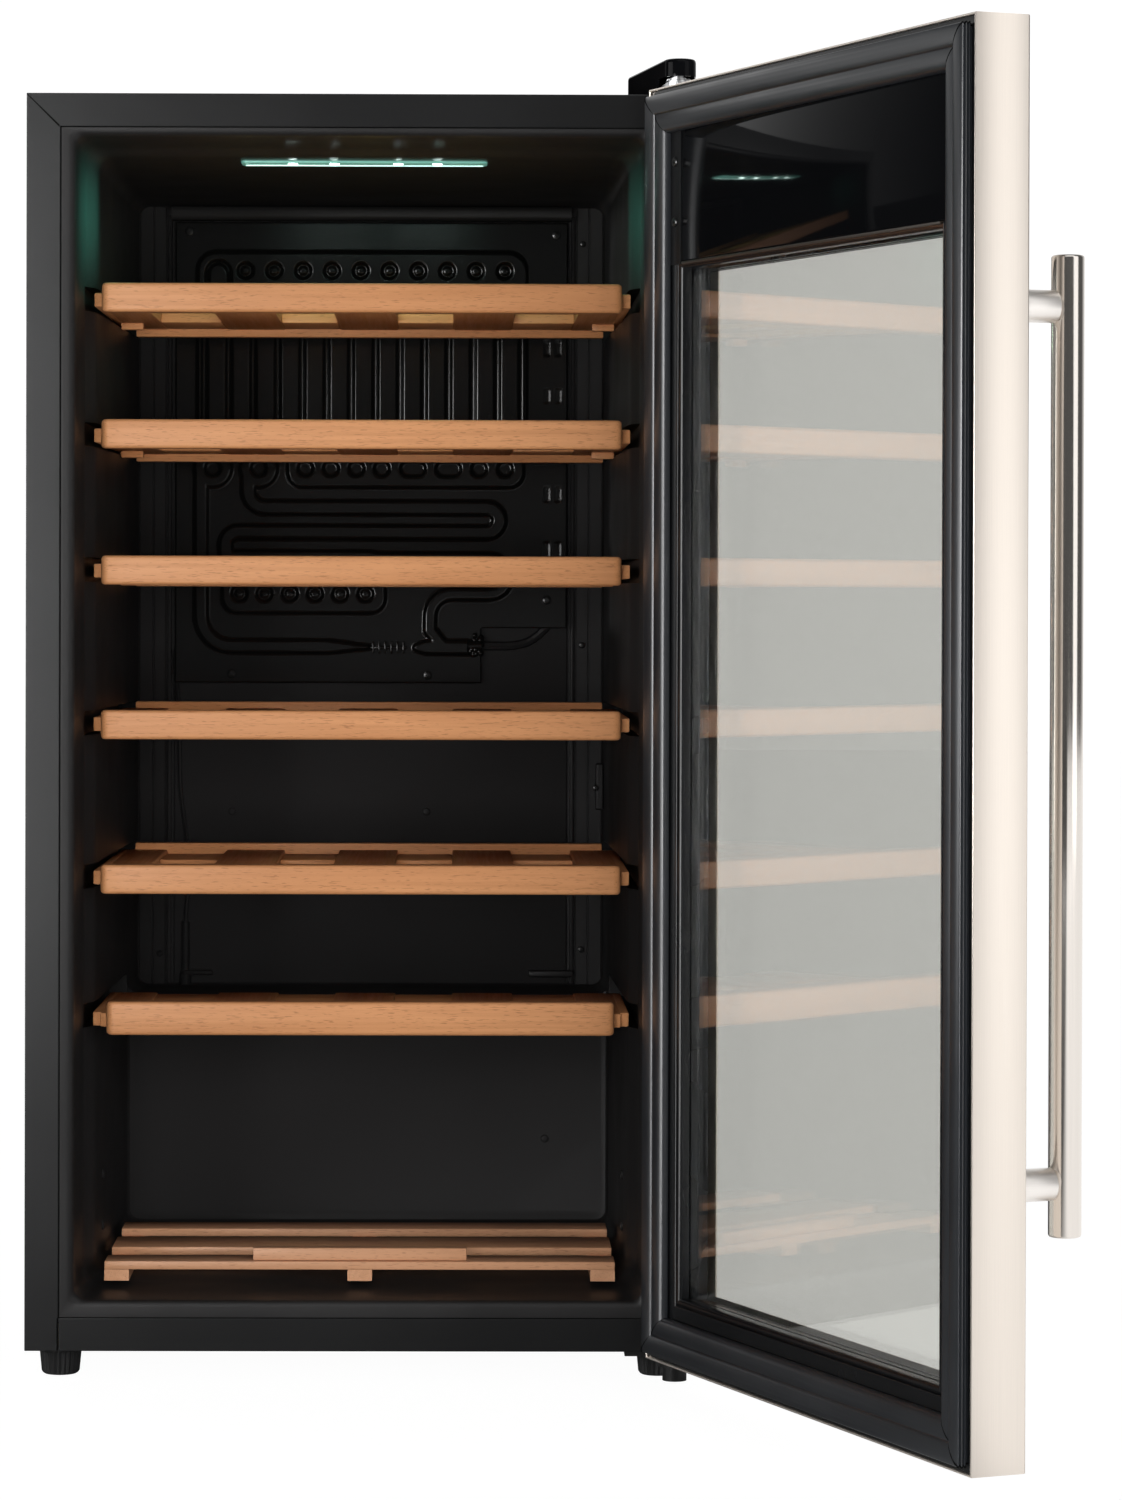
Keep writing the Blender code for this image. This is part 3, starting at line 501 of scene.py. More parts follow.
# ---------------------------------------------------------------- door
CASE_HALF = (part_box("outer_casing")[1].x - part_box("outer_casing")[0].x) / 2 / MM
DOOR_LOW, DOOR_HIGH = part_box("door_frame")[0].z / MM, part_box("door_frame")[1].z / MM
DOOR_T = 35.0
DOOR_BACK = -8.0
WINDOW_TOP = 694.0
CORNERS = ((-1, -1), (1, -1), (1, 1), (-1, 1))
MITRE_SHARP = 50.0


def framed(profile, high=None):
    """Sweeps a closed profile round the door: (distance inside its edge, height off its back face) pairs."""
    top = DOOR_HIGH if high is None else high
    rings = []
    for side, end in CORNERS:
        ring = []
        for inset, height in profile:
            z = DOOR_LOW + inset if end < 0 else top - inset
            ring.append((side * (CASE_HALF - inset), DOOR_BACK + height, z))
        rings.append(ring)
    return loft(rings, closed=True)


def framed_piece(name, profile, slot, replaces=(), materials=None, high=None):
    """A piece of the door that runs round it, with crisp mitred corners."""
    piece(name, framed(profile, high), "door", slot, replaces, materials, MITRE_SHARP)


def door_gasket():
    """The magnetic gasket: a bellows flank, a broad outer lobe, a groove and a lower inner lobe."""
    flank = [(7.0, -1.7), (6.8, -0.4), (5.3, 0.4), (5.3, 1.0), (6.4, 1.7)]
    flank += [(5.2, 2.5), (5.2, 3.1), (6.2, 3.8), (5.3, 4.8)]
    lobe = [(6.2, 5.6), (7.4, 6.25), (9.4, 6.5), (12.4, 6.35), (15.2, 5.7), (16.9, 4.9), (17.5, 4.2)]
    groove = [(17.9, 3.9), (18.4, 4.2)]
    inner = [(19.6, 4.7), (22.4, 4.9), (25.4, 4.5), (27.8, 3.5), (29.2, 2.0), (29.9, 0.2), (29.9, -1.7)]
    profile = flank + lobe + groove + inner
    framed_piece("gasket_profile", profile, "gasket_rubber", ["door_gasket"])
    # The welded corners show as thin dark slices, a little larger than the profile.
    middle_x, middle_z, half = 18.0, 2.4, 0.28
    outline = [(middle_x + 1.012 * (a - middle_x), middle_z + 1.03 * (b - middle_z)) for a, b in profile]
    joints = []
    for side, end in CORNERS:
        rings = []
        for shift in (-half, half):
            ring = []
            for inset, height in outline:
                z = DOOR_LOW + inset - shift if end < 0 else DOOR_HIGH - inset + shift
                ring.append((side * (CASE_HALF - inset - shift), DOOR_BACK + height, z))
            rings.append(ring)
        joints.append(loft(rings))
    piece("gasket_corner_joints", merged(joints), "door", "gasket_rubber", (), ["joint_black"])


def inner_frame():
    """The glazing frame: a flat land beside the gasket, a step, and a bead that slopes down to the glass."""
    profile = [
        (2.0, -10.0), (2.0, -2.6), (28.0, -2.6), (38.2, -2.3), (38.9, -2.5), (39.2, -3.0),
        (39.3, -4.6), (40.2, -4.6), (40.4, -3.2), (41.0, -2.7), (42.4, -3.0), (43.4, -4.0),
        (43.9, -5.4), (44.0, -10.0),
    ]
    framed_piece("glazing_frame", profile, "door_plastic", high=WINDOW_TOP + 44.0)
    rim = [(1.5, -10.0), (1.5, -1.6), (5.0, -1.2), (6.0, -1.6), (27.0, -2.6), (27.4, -3.0), (27.4, -10.0)]
    framed_piece("frame_rim", rim, "door_plastic", ["door_inner_frame"])


def steel_shell():
    """The folded steel shell of the door, with a hem at the back and the window cut in its front."""
    out, skin = DOOR_T, 1.2
    profile = [
        (1.35, -1.4), (1.35, -0.35), (1.0, 0.0), (0.5, 0.0), (0.15, -0.15), (0.0, -0.5),
        (0.0, -out + 1.4), (0.35, -out + 0.45), (1.3, -out), (43.4, -out), (44.0, -out + 0.5),
        (44.0, -out + skin), (1.9, -out + skin), (1.2, -out + 2.0), (1.2, -1.4),
    ]
    framed_piece("steel_shell", profile, "door_steel", ["door_frame"])
    x = CASE_HALF - 43.6
    front = DOOR_BACK - out
    panel = rounded_block((-x, front, WINDOW_TOP), (x, front + skin, DOOR_HIGH - 43.6), 0.3, 2)
    piece("steel_fascia", panel, "door", "door_steel")


def glazing():
    """The black spacer between the panes."""
    profile = [
        (36.0, -14.7), (42.0, -14.7), (42.0, -16.2), (41.6, -16.5), (41.6, -19.4), (42.2, -19.8),
        (42.2, -21.6), (41.6, -22.0), (41.6, -25.0), (42.0, -25.4), (42.0, -26.5), (36.0, -26.5),
    ]
    nodes = ["glass_spacer", "glass_seal"]
    framed_piece("pane_spacer", profile, "zinc_steel", nodes, ["spacer_black"], WINDOW_TOP + 40.5)


def control_panel():
    """The piano-black cover over the control box, its side strip with two screws, and the trim under it."""
    low, high = 699.0, 783.0
    half = CASE_HALF - 44.4
    face = DOOR_BACK - 2.0
    cover = rounded_block((-CASE_HALF + 27.6, face - 2.4, low), (half - 0.2, face, high + 0.8), 0.5, 2)
    piece("control_cover_gloss", cover, "door", "panel_gloss", ["control_cover"])
    start, end = (half + 0.2, face - 2.2, low - 2), (CASE_HALF - 27.6, face + 0.25, high + 0.8)
    strip = rounded_block(start, end, 0.4, 2)
    piece("control_side_strip", strip, "door", "door_plastic", ["control_cover_strip"], ["strip_black"])
    heads = []
    for z in (724.0, 762.0):
        centre = (CASE_HALF - 36.6, z)
        profile = [(3.2, face + 0.2), (3.2, face + 0.8), (2.6, face + 1.5), (1.2, face + 1.8)]
        head = turned(profile, centre, 24, "y")
        arms = [
            block((centre[0] - a, face + 1.1, centre[1] - b), (centre[0] + a, face + 3, centre[1] + b))
            for a, b in ((1.5, 0.32), (0.32, 1.5))
        ]
        heads.append(boolean(head, arms))
    piece("control_screws", merged(heads), "door", "black_enamel")
    trim = rounded_block((-half, face - 3.0, low - 2.2), (half - 0.4, face + 0.05, low - 0.5), 0.5, 2)
    piece("control_trim", trim, "door", "door_plastic", (), ["trim_beige"])
    ledge = rounded_block((-half, face - 8.0, WINDOW_TOP + 0.2), (half, face - 3.2, low + 4), 0.4, 2)
    piece("control_ledge", ledge, "door", "door_plastic")


def handle():
    """The bar with crowned ends, on two posts that end flat at it, with a neck going in."""
    x, y = 30.0 - CASE_HALF, DOOR_BACK - DOOR_T - 41.4
    low, high, radius = 125.0, 680.6, 9.5
    profile = [(radius - 1.6, low), (radius - 0.5, low + 0.4), (radius, low + 1.5)]
    profile += [(radius, high - 1.5), (radius - 0.5, high - 0.4), (radius - 1.6, high)]
    bar = turned(profile, (x, y), 64)
    piece("handle_bar_brushed", bar, "door", "door_steel", ["handle_bar"], ["handle_steel"], 60.0)
    front, near = DOOR_BACK - DOOR_T, y + radius
    for name, z in (("lower", 155.3), ("upper", 651.2)):
        profile = [(9.0, near - 0.5), (9.3, near), (9.3, front - 1.0), (9.0, front - 0.3)]
        post = turned(profile, (x, z), 56, "y")
        neck = turned([(6.0, y + 6.0), (6.0, near)], (x, z), 32, "y")
        node = f"handle_post_{name}"
        piece(f"{node}_brushed", merged([post, neck]), "door", "door_steel", [node], ["post_steel"])


# ---------------------------------------------------------------- liner
# (y, half width, floor, ceiling, corner radius) sections of the cavity, from the mouth to the back
LIP = [(0.15, 188.6, 27.4, 787.9, 4.0), (0.3, 187.6, 28.4, 786.9, 5.0)]
for turned_by in (22, 45, 68, 90):
    rise = 4.1 * math.sin(math.radians(turned_by))
    depth = 5.3 - 5.0 * math.cos(math.radians(turned_by))
    LIP.append((depth, 187.6 - rise, 28.4 + rise, 786.9 - rise, 5.0 + 4.0 * turned_by / 90))
SECTIONS = LIP + [
    (30.0, 183.1, 33.5, 782.0, 10.0),
    (56.0, 182.7, 34.8, 781.1, 10.0),
    (62.0, 182.2, 35.2, 780.8, 10.0),
    (68.0, 180.6, 35.9, 780.0, 10.0),
    (76.0, 177.8, 37.1, 778.2, 10.0),
    (82.0, 176.5, 37.8, 777.3, 10.0),
    (88.0, 175.9, 38.1, 776.9, 10.0),
    (388.0, 169.5, 42.7, 770.3, 8.0),
]
# The step over the machine bay: the face of its riser, and its top. Then the cavity's back wall.
STEP_Y, STEP_Z, BACK_Y = 308.0, 203.5, 388.0


def section_at(y):
    for near, far in zip(SECTIONS, SECTIONS[1:]):
        if y <= far[0]:
            share = max(0.0, (y - near[0]) / (far[0] - near[0]))
            return [a + (b - a) * share for a, b in zip(near[1:], far[1:])]
    return list(SECTIONS[-1][1:])


def rounded_ring(y, half, low, high, radius):
    """A rectangle with round corners, in the plane at one depth."""
    points = []
    for cx, cz, start in (
        (half - radius, high - radius, 0),
        (radius - half, high - radius, 90),
        (radius - half, low + radius, 180),
        (half - radius, low + radius, 270),
    ):
        points += arc((cx, cz), radius, start, start + 90, 5)
    return [(x, y, z) for x, z in points]


def cavity(by):
    """The cavity grown by some amount: the part in front of the step, and the part above it."""

    def ring(y, section, bottom, inset=0.0, ease=0.0):
        half, _, high, radius = section
        grown = by - inset
        return rounded_ring(y, half + grown, bottom - grown, high + grown, radius + by - ease * inset)

    front = []
    if by:
        lip = section_at(1.5)
        front.append(ring(0.9, lip, lip[1]))
    for y, *_ in SECTIONS:
        if (by == 0 or y > 6.0) and y < STEP_Y - 20:
            section = section_at(y)
            front.append(ring(y, section, section[1]))
    section = section_at(STEP_Y)
    for inset, depth in ((0.0, -6.0), (0.5, -3.0), (2.0, -0.8), (5.0, 0.0)):
        front.append(ring(STEP_Y + depth + by, section, section[1], inset, 0.5))
    back = [ring(y, section_at(y), STEP_Z) for y in (286.0, 340.0, 379.0)]
    for inset, depth in ((0.4, -5.0), (2.0, -2.0), (4.0, -0.6), (7.0, 0.0)):
        back.append(ring(BACK_Y + depth + by, section_at(BACK_Y), STEP_Z, inset, 0.4))
    return [loft(front), loft(back)]


def groove_cutters(by):
    """The pairs of shelf grooves, grown by some amount. Each shelf's own box sets the height of its pair."""
    cutters = []
    for number in range(1, 7):
        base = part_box(f"shelf_{number}_frame")[0].z / MM + (2.4 if number < 6 else -1.2)
        end = 302.0 if number == 6 else 383.0
        for side in (-1, 1):
            x = sorted((side * 150.0, side * (183.4 + by)))
            low, high = (x[0], 60.0 - by, base - by), (x[1], end + by, base + 16.0 + by)
            cutters.append(rounded_block(low, high, 2.2, 3, lambda d: abs(d.x) > 0.9))
    return cutters


def liner():
    """The thermoformed tub: a rounded lip, a shoulder, six pairs of shelf grooves and a ribbed back wall."""
    low, high = box_mm("inner_liner")
    flange = rounded_block((low.x, low.y, low.z), (high.x, 1.7, high.z), 0.25, 1)
    shape = boolean(flange, cavity(1.2) + groove_cutters(1.2), "UNION")
    panel = rounded_block((-143.2, 385.4, STEP_Z + 0.2), (143.2, 388.4, 762.0), 1.6, 3)
    ribs = []
    for x in (-146.6, 146.6):
        ribs.append(rounded_block((x - 1.6, 385.2, STEP_Z + 0.2), (x + 1.6, 388.4, 764.0), 1.3, 3))
    bumps = []
    for x, y, z in ((-100.7, 385.4, 330.0), (40.8, 385.4, 330.0), (126.0, STEP_Y, 101.0)):
        profile = [(2.9, y + 0.6), (2.9, y - 0.5), (2.2, y - 1.2), (1.0, y - 1.4)]
        bumps.append(turned(profile, (x, z), 20, "y"))
    for x, z in ((-174.9, 97.7), (-174.9, 63.4), (174.9, 97.7), (174.9, 63.4)):
        side = 1 if x > 0 else -1
        profile = [(3.4, x + side), (3.4, x - side * 0.8), (2.6, x - side * 1.1), (2.4, x - side * 0.4)]
        bumps.append(turned(profile, (131.0, z), 20, "x"))
    shape = boolean(shape, cavity(0.0) + groove_cutters(0.0))
    shells = merged([shape, panel, *ribs, *bumps])
    # Faces deeper than the lip take the lighter copy of the liner plastic: painted light on the cavity's walls
    lip_end = 14.0
    for face in shells.faces:
        face.material_index = 1 if face.calc_center_median().y > lip_end else 0
    materials = ["liner_plastic", "liner_cavity_painted_light"]
    piece("liner_tub", shells, "cabinet", "liner_plastic", ["inner_liner"], materials, 28.0)


# ---------------------------------------------------------------- evaporator
def segment_distance(px, pz, a, b):
    """Distance from each point to a segment."""
    ax, az = a
    dx, dz = b[0] - ax, b[1] - az
    share = np.clip(((px - ax) * dx + (pz - az) * dz) / max(dx * dx + dz * dz, 1e-9), 0, 1)
    return np.hypot(px - ax - share * dx, pz - az - share * dz)


def path_distance(px, pz, points):
    return np.minimum.reduce([segment_distance(px, pz, a, b) for a, b in zip(points, points[1:])])


def box_distance(px, pz, low, high, radius):
    """Signed distance to a rectangle with round corners, negative inside."""
    cx, cz = (low[0] + high[0]) / 2, (low[1] + high[1]) / 2
    qx = np.abs(px - cx) - (high[0] - low[0]) / 2 + radius
    qz = np.abs(pz - cz) - (high[1] - low[1]) / 2 + radius
    return np.hypot(np.maximum(qx, 0), np.maximum(qz, 0)) + np.minimum(np.maximum(qx, qz), 0) - radius


def turn(centre, radius, start, end):
    return arc(centre, radius, start, end, 8)


def smooth_step(value):
    value = np.clip(value, 0, 1)
    return value * value * (3 - 2 * value)


CHANNEL_PITCH = 17.7
UPPER_DIMPLES = [(-91.4 + 20.9 * i, 722.9) for i in range(10)]
LOWER_DIMPLES = [(-95.4 + 18.3 * i, 488.5) for i in range(6)]


def channel_map(px, pz):
    """Signed distance to the blown channels of the plate, negative where the plate is raised."""
    field = box_distance(px, pz, (-126.3, 592.0), (113.0, 736.6), 14.0)
    header = box_distance(px, pz, (-60.8, 565.7), (111.0, 700.0), 11.0)
    store = box_distance(px, pz, (-108.1, 474.4), (10.8, 519.7), 11.0)
    raised = np.minimum.reduce([field, header, store])
    for x in (-114.8, -81.5):
        raised = np.minimum(raised, np.hypot(px - x, pz - 579.2) - 13.7)
    outer = [(-123.2, 590.0), (-123.2, 472.4)] + turn((-101.1, 472.4), 22.1, 180, 270) + [(-30.5, 450.2)]
    taper = segment_distance(px, pz, (-30.5, 450.2), (0.0, 449.8))
    raised = np.minimum(raised, taper - np.interp(px, (-30.5, 0.0), (4.8, 1.0)))
    winding = [(-89.0, 580.0), (-89.0, 563.1)] + turn((-76.9, 563.1), 12.1, 180, 270)
    winding += turn((84.4, 542.1), 8.9, 90, -90) + turn((-96.0, 523.8), 9.5, 90, 180) + [(-104.7, 512.7)]
    back = [(-101.1, 514.3)] + turn((86.4, 501.4), 12.9, 90, -90) + turn((59.2, 472.4), 16.1, 90, 180)
    back += [(43.0, 462.3), (52.1, 451.2)]
    for path, reach in ((outer, 4.8), (winding, 5.0), (back, 4.3)):
        raised = np.minimum(raised, path_distance(px, pz, path) - reach)
    outlet = [(33.0, 449.6), (39.0, 449.8), (71.3, 449.6)]
    raised = np.minimum(raised, path_distance(px, pz, outlet) - np.interp(px, (29.0, 40.0), (1.4, 5.0)))
    return raised


def bond_map(px, pz):
    """Distance to the bonded spots and lines inside the raised fields, negative where the plate is bonded."""
    spots = [(x, z, 0.0) for x, z in UPPER_DIMPLES + LOWER_DIMPLES]
    spots += [(x, 579.4, 0.0) for x in (-114.8, -81.5, -47.7, -29.1, -10.6, 7.8, 78.3, 97.2)]
    spots += [(x, 579.4, 3.6) for x in (30.4, 56.1)]
    near = np.full(px.shape, 99.0)
    for x, z, reach in spots:
        near = np.minimum(near, segment_distance(px, pz, (x - reach, z), (x + reach, z)) - 5.3)
    for i in range(14):
        x = -121.0 + CHANNEL_PITCH * i
        near = np.minimum(near, segment_distance(px, pz, (x, 704.0), (x, 594.0)) - 1.7)
    loop = [(-119.2, 712.0), (-119.2, 720.9)] + turn((-111.1, 720.9), 8.1, 180, 0) + [(-103.0, 712.0)]
    return np.minimum(near, path_distance(px, pz, loop) - 0.9)


def evaporator():
    """The roll-bond plate: blown channels, bonded dimples and slots pressed into one sheet."""
    half, low, high = 142.0, 424.0, 758.0
    corner_x, corner_z = 80.6, 464.0
    step = 1.0
    xs = np.linspace(-half, half, int(2 * half / step) + 1)
    zs = np.linspace(low, high, int((high - low) / step) + 1)
    px, pz = np.meshgrid(xs, zs)
    raised = channel_map(px, pz)
    bonded = bond_map(px, pz)
    channel_rise, dimple_rise, slot_depth, flank = 2.5, 1.2, 0.45, 2.2
    height = channel_rise * smooth_step((1.0 - raised) / flank) * smooth_step((bonded + 0.9) / flank)
    button = np.zeros_like(px)
    for x, z in UPPER_DIMPLES + LOWER_DIMPLES:
        button = np.maximum(button, dimple_rise * smooth_step((3.9 - np.hypot(px - x, pz - z)) / 1.6))
    height = np.maximum(height, button)
    slots = np.full(px.shape, 99.0)
    for z in (667.0, 632.5, 561.0, 521.0):
        for x in (127.7, 135.8):
            slots = np.minimum(slots, box_distance(px, pz, (x - 1.9, z - 5.2), (x + 1.9, z + 5.2), 0.6))
    height -= slot_depth * smooth_step(0.5 - slots)
    wobble = 0.25 * np.sin(px / 41.0 + 0.8) * np.sin(pz / 57.0)
    front = 375.6 - height * 0.95 + wobble * 0.5
    inside = ~((px > corner_x) & (pz < corner_z))
    shape = bmesh.new()
    index = {}
    for row, col in np.argwhere(inside):
        index[row, col] = shape.verts.new((xs[col], front[row, col], zs[row]))
    for (row, col), vert in index.items():
        others = [index.get(key) for key in ((row, col + 1), (row + 1, col + 1), (row + 1, col))]
        if None not in others:
            shape.faces.new((vert, *others))
    bmesh.ops.recalc_face_normals(shape, faces=shape.faces)
    if shape.faces[0].normal.y > 0:
        bmesh.ops.reverse_faces(shape, faces=shape.faces)
    nodes = ["evaporator_plate"]
    plate = piece("evaporator_roll_bond", shape, "cabinet", "evaporator_coat", nodes, sharp=70.0)
    thick = plate.modifiers.new("sheet", "SOLIDIFY")
    thick.thickness = 1.3 * MM
    thick.offset = -1.0


def cross_head_screw(x, z, face, radius=3.3):
    """A pan-head screw with a cross recess, facing forward."""
    profile = [(radius, face), (radius, face - 0.7), (radius * 0.8, face - 1.5), (radius * 0.35, face - 1.9)]
    head = turned(profile, (x, z), 24, "y")
    arms = [
        block((x - a, face - 3, z - b), (x + a, face - 1.0, z + b))
        for a, b in ((radius * 0.5, 0.35), (0.35, radius * 0.5))
    ]
    return boolean(head, arms)


def evaporator_fittings():
    """Screws, the crimped end of the channel, the soldered joint and the bar above the plate."""
    plate_screws = [(-132.0, 751.0), (134.0, 749.0), (-101.0, 430.5), (41.3, 429.5), (127.7, 484.5)]
    screws = [cross_head_screw(x, z, 375.4) for x, z in plate_screws]
    for x, z in ((-153.0, 226.5), (153.6, 451.6), (153.6, 230.0), (153.6, 743.5), (163.8, 348.0)):
        y = 383.6 if abs(x) < 160 else 373.8
        screws.append(cross_head_screw(x, z, y, 2.3))
    piece("back_wall_screws", merged(screws), "cabinet", "evaporator_coat", (), ["black_enamel"])
    crimp = [rounded_block((-0.5, 372.6, 448.4), (26.5, 374.9, 450.8), 0.8, 2)]
    for i in range(6):
        x = 1.8 + i * 4.4
        crimp.append(rounded_block((x - 0.9, 372.0, 445.0), (x + 0.9, 375.0, 454.2), 0.7, 2))
    piece("channel_crimp", merged(crimp), "cabinet", "evaporator_coat")
    random.seed(4)
    lumps = []
    for _ in range(26):
        x = 72.0 + random.random() * 9.0
        z = 451.0 + random.uniform(-9.0, 9.0) * (1 - abs(x - 76.5) / 12)
        radius = random.uniform(1.2, 2.8)
        lump = bmesh.new()
        bmesh.ops.create_icosphere(lump, subdivisions=2, radius=radius)
        bmesh.ops.translate(lump, verts=lump.verts, vec=(x, 374.2 + random.uniform(-0.8, 0.8), z))
        lumps.append(lump)
    collar = turned([(3.6, 70.0), (4.6, 71.0), (4.6, 80.5), (3.8, 81.0)], (375.8, 450.9), 24, "x")
    lumps.append(collar)
    piece("solder_joint", merged(lumps), "cabinet", "evaporator_coat")
    low, high = box_mm("evaporator_top_trim")
    bar = rounded_block(low, high, 3.4, 4, lambda d: abs(d.x) > 0.9)
    piece("evaporator_top_bar", bar, "cabinet", "liner_plastic", ["evaporator_top_trim"])
    for side, name in ((-1, "left"), (1, "right")):
        inner, step_x, outer = 149.0 * side, 158.5 * side, 168.6 * side
        outline = [(inner, 387.6), (inner, 385.0), (inner + side, 384.2), (step_x - side, 384.2)]
        outline += [(step_x - side * 0.6, 385.2), (step_x + side * 0.2, 385.2), (step_x + side * 0.6, 384.0)]
        outline += [(outer - side, 384.0), (outer, 384.8), (outer, 387.6)]
        shape = prism(outline, STEP_Z + 0.3, 770.0)
        piece(f"corner_strip_{name}", shape, "cabinet", "liner_plastic", [f"corner_trim_{name}"])
    hooks = [
        rounded_block((-136.0, 379.0, 211.0), (-114.0, 386.0, 214.5), 1.4, 3),
        rounded_block((115.0, 379.0, 210.0), (148.0, 386.0, 214.8), 1.4, 3),
    ]
    piece("back_wall_clips", merged(hooks), "cabinet", "liner_plastic")


# ---------------------------------------------------------------- lamp
def lamp():
    """A tray lens with a bright rim along its back edge, and four diodes below its front."""
    low, high = box_mm("lamp_lens")
    depth = high.y - low.y
    low.y, high.y = low.y + 0.33 * depth, high.y - 0.14 * depth
    underside = 775.1
    start, end = (low.x, low.y, underside), (high.x, high.y, 777.4)
    shell = rounded_block(start, end, 4.0, 4, lambda d: abs(d.z) > 0.9)
    bottom = [
        edge for edge in shell.edges
        if all(vert.co.z < underside + 0.1 for vert in edge.verts) and edge.calc_face_angle(0.0) > 1.0
    ]
    bmesh.ops.bevel(shell, geom=bottom, offset=0.6, segments=3, profile=0.5, affect="EDGES")
    rim = rounded_block((low.x + 2.5, high.y - 4.0, 774.8), (high.x - 2.5, high.y - 2.4, 775.5), 0.3, 2)
    tray = merged([shell, rim], [0, 1])
    materials = ["lamp_plastic", "lamp_rim"]
    piece("lamp_cover", tray, "cabinet", "lamp_plastic", ["lamp_lens", "lamp_board"], materials)
    chips = []
    for x in (-47.5, -19.8, 22.6, 48.8):
        chip = bmesh.new()
        bmesh.ops.create_uvsphere(chip, u_segments=20, v_segments=12, radius=1.0)
        bmesh.ops.scale(chip, vec=(3.2, 3.0, 0.9), verts=chip.verts)
        bmesh.ops.translate(chip, vec=(x, low.y + 4.0, 775.0), verts=chip.verts)
        chips.append(chip)
    piece("lamp_diodes", merged(chips), "cabinet", "lamp_plastic", (), ["diode"])


# ---------------------------------------------------------------- shelves
def boards_of(number):
    """The boards behind one shelf's front board: (low corner, high corner, material index) of each."""
    low, high = box_mm(f"shelf_{number}_frame")
    start = low.y
    if number == 6:
        slat_low, slat_high, slat_end = low.z, high.z, high.y
        boards = [((-172.0, 150.0, low.z + 2.2), (172.0, 212.0, low.z + 8.2), 0)]
    else:
        base = low.z + 0.5
        slat_low, slat_high, slat_end = base + 4.6, base + 13.8, high.y - 11.9
        boards = [((-166.5, high.y - 12.0, low.z), (166.5, high.y, high.z), 0)]
        for side in (-1, 1):
            x = sorted((side * 156.0, side * 171.5))
            boards.append(((x[0], 238.0, base - 0.2), (x[1], 246.0, slat_low - 0.02), 0))
        gaps = [(-143.5, -101.25), (-59.75, -20.75), (20.75, 59.75), (101.25, 143.5)]
        boards += [((a + 0.02, 235.0, slat_low), (b - 0.02, 310.0, base + 11.3), 0) for a, b in gaps]
    for centre in (-80.5, 0.0, 80.5):
        boards.append(((centre - 20.75, start, slat_low), (centre + 20.75, slat_end, slat_high), 1))
    for side in (-1, 1):
        x = sorted((side * 143.5, side * 171.0))
        boards.append(((x[0], start, slat_low), (x[1], slat_end, slat_high), 1))
        x = sorted((side * 170.0, side * 176.4))
        boards.append(((x[0], start + 7.0, slat_low + 0.01), (x[1], slat_end - 0.01, slat_high - 0.01), 1))
    return boards


def shelves():
    """Each shelf's boards, with sanded edges, and its front board with well rounded ends."""
    for number in range(1, 7):
        body = f"shelf_{number}"
        boards = boards_of(number)
        shapes = [rounded_block(low, high, 0.9, 2) for low, high, _ in boards]
        shape = merged(shapes, [index for *_, index in boards])
        piece(f"{body}_boards", shape, body, "beech", [f"{body}_frame"], ["beech_x", "beech_y"])
        low, high = box_mm(f"shelf_{number}_front")
        front = rounded_block(low, high, 5.5, 5, lambda d: abs(d.z) > 0.9)
        long_edges = [e for e in front.edges if abs((e.verts[1].co - e.verts[0].co).normalized().z) < 0.1]
        edges = [e for e in long_edges if abs(e.verts[0].co.z - e.verts[1].co.z) < 0.01]
        edges = [e for e in edges if len(e.link_faces) == 2 and e.calc_face_angle(0.0) > 1.0]
        bmesh.ops.bevel(front, geom=edges, offset=2.4, segments=4, profile=0.5, affect="EDGES")
        piece(f"{body}_face", front, body, "beech", [f"{body}_front"], ["beech_x"], 40.0)


def floor_rack():
    """Three slats nailed to three runners, with a stop block at the front."""
    low, high = box_mm("floor_rack")
    slat_low = high.z - 5.5
    shapes = [
        rounded_block((low.x, a, slat_low), (high.x, b, high.z), 0.8, 2)
        for a, b in ((45.0, 72.8), (110.6, 160.0), (199.6, 232.0))
    ]
    for x in (-159.0, 0.0, 159.0):
        outline = [(45.4, 38.7), (84, 38.7), (231.6, 40.8), (231.6, slat_low), (45.4, slat_low)]
        shapes.append(prism(outline, x - 8, x + 8, "x"))
    slats = merged(shapes, [0, 0, 0, 1, 1, 1])
    piece("rack_slats", slats, "floor_rack", "beech", ["floor_rack"], ["beech_rack", "beech_runner"])
    low, high = box_mm("floor_rack_stop")
    stop = rounded_block(low, high, 1.0, 2)
    piece("rack_stop", stop, "floor_rack", "beech", ["floor_rack_stop"], ["beech_rack"])


# ---------------------------------------------------------------- feet and hinges
def feet():
    """Levelling feet: a fluted skirt on a flat sole."""
    around, flutes = 96, 24
    for name in ("front_left", "front_right", "rear_left", "rear_right"):
        low, high = box_mm(f"foot_{name}")
        cx, cy = (low.x + high.x) / 2, (low.y + high.y) / 2
        rings = []
        for radius, z, flute in (
            (10.4, low.z, 0.0), (11.5, low.z + 0.7, 0.0), (12.4, low.z + 2.0, 1.1), (13.6, -5.0, 1.1),
            (13.5, -4.0, 0.0), (14.1, -3.5, 0.0), (14.2, -1.0, 0.0), (13.8, -0.4, 0.0),
            (4.0, -0.35, 0.0), (4.0, 10.9, 0.0),
        ):
            ring = []
            for i in range(around):
                angle = 2 * math.pi * i / around
                r = radius - flute * (0.5 - 0.5 * math.cos(flutes * angle))
                ring.append((cx + r * math.cos(angle), cy + r * math.sin(angle), z))
            rings.append(ring)
        body = f"foot_{name}"
        piece(f"{body}_fluted", loft(rings), body, "black_rubber", [body], sharp=30.0)


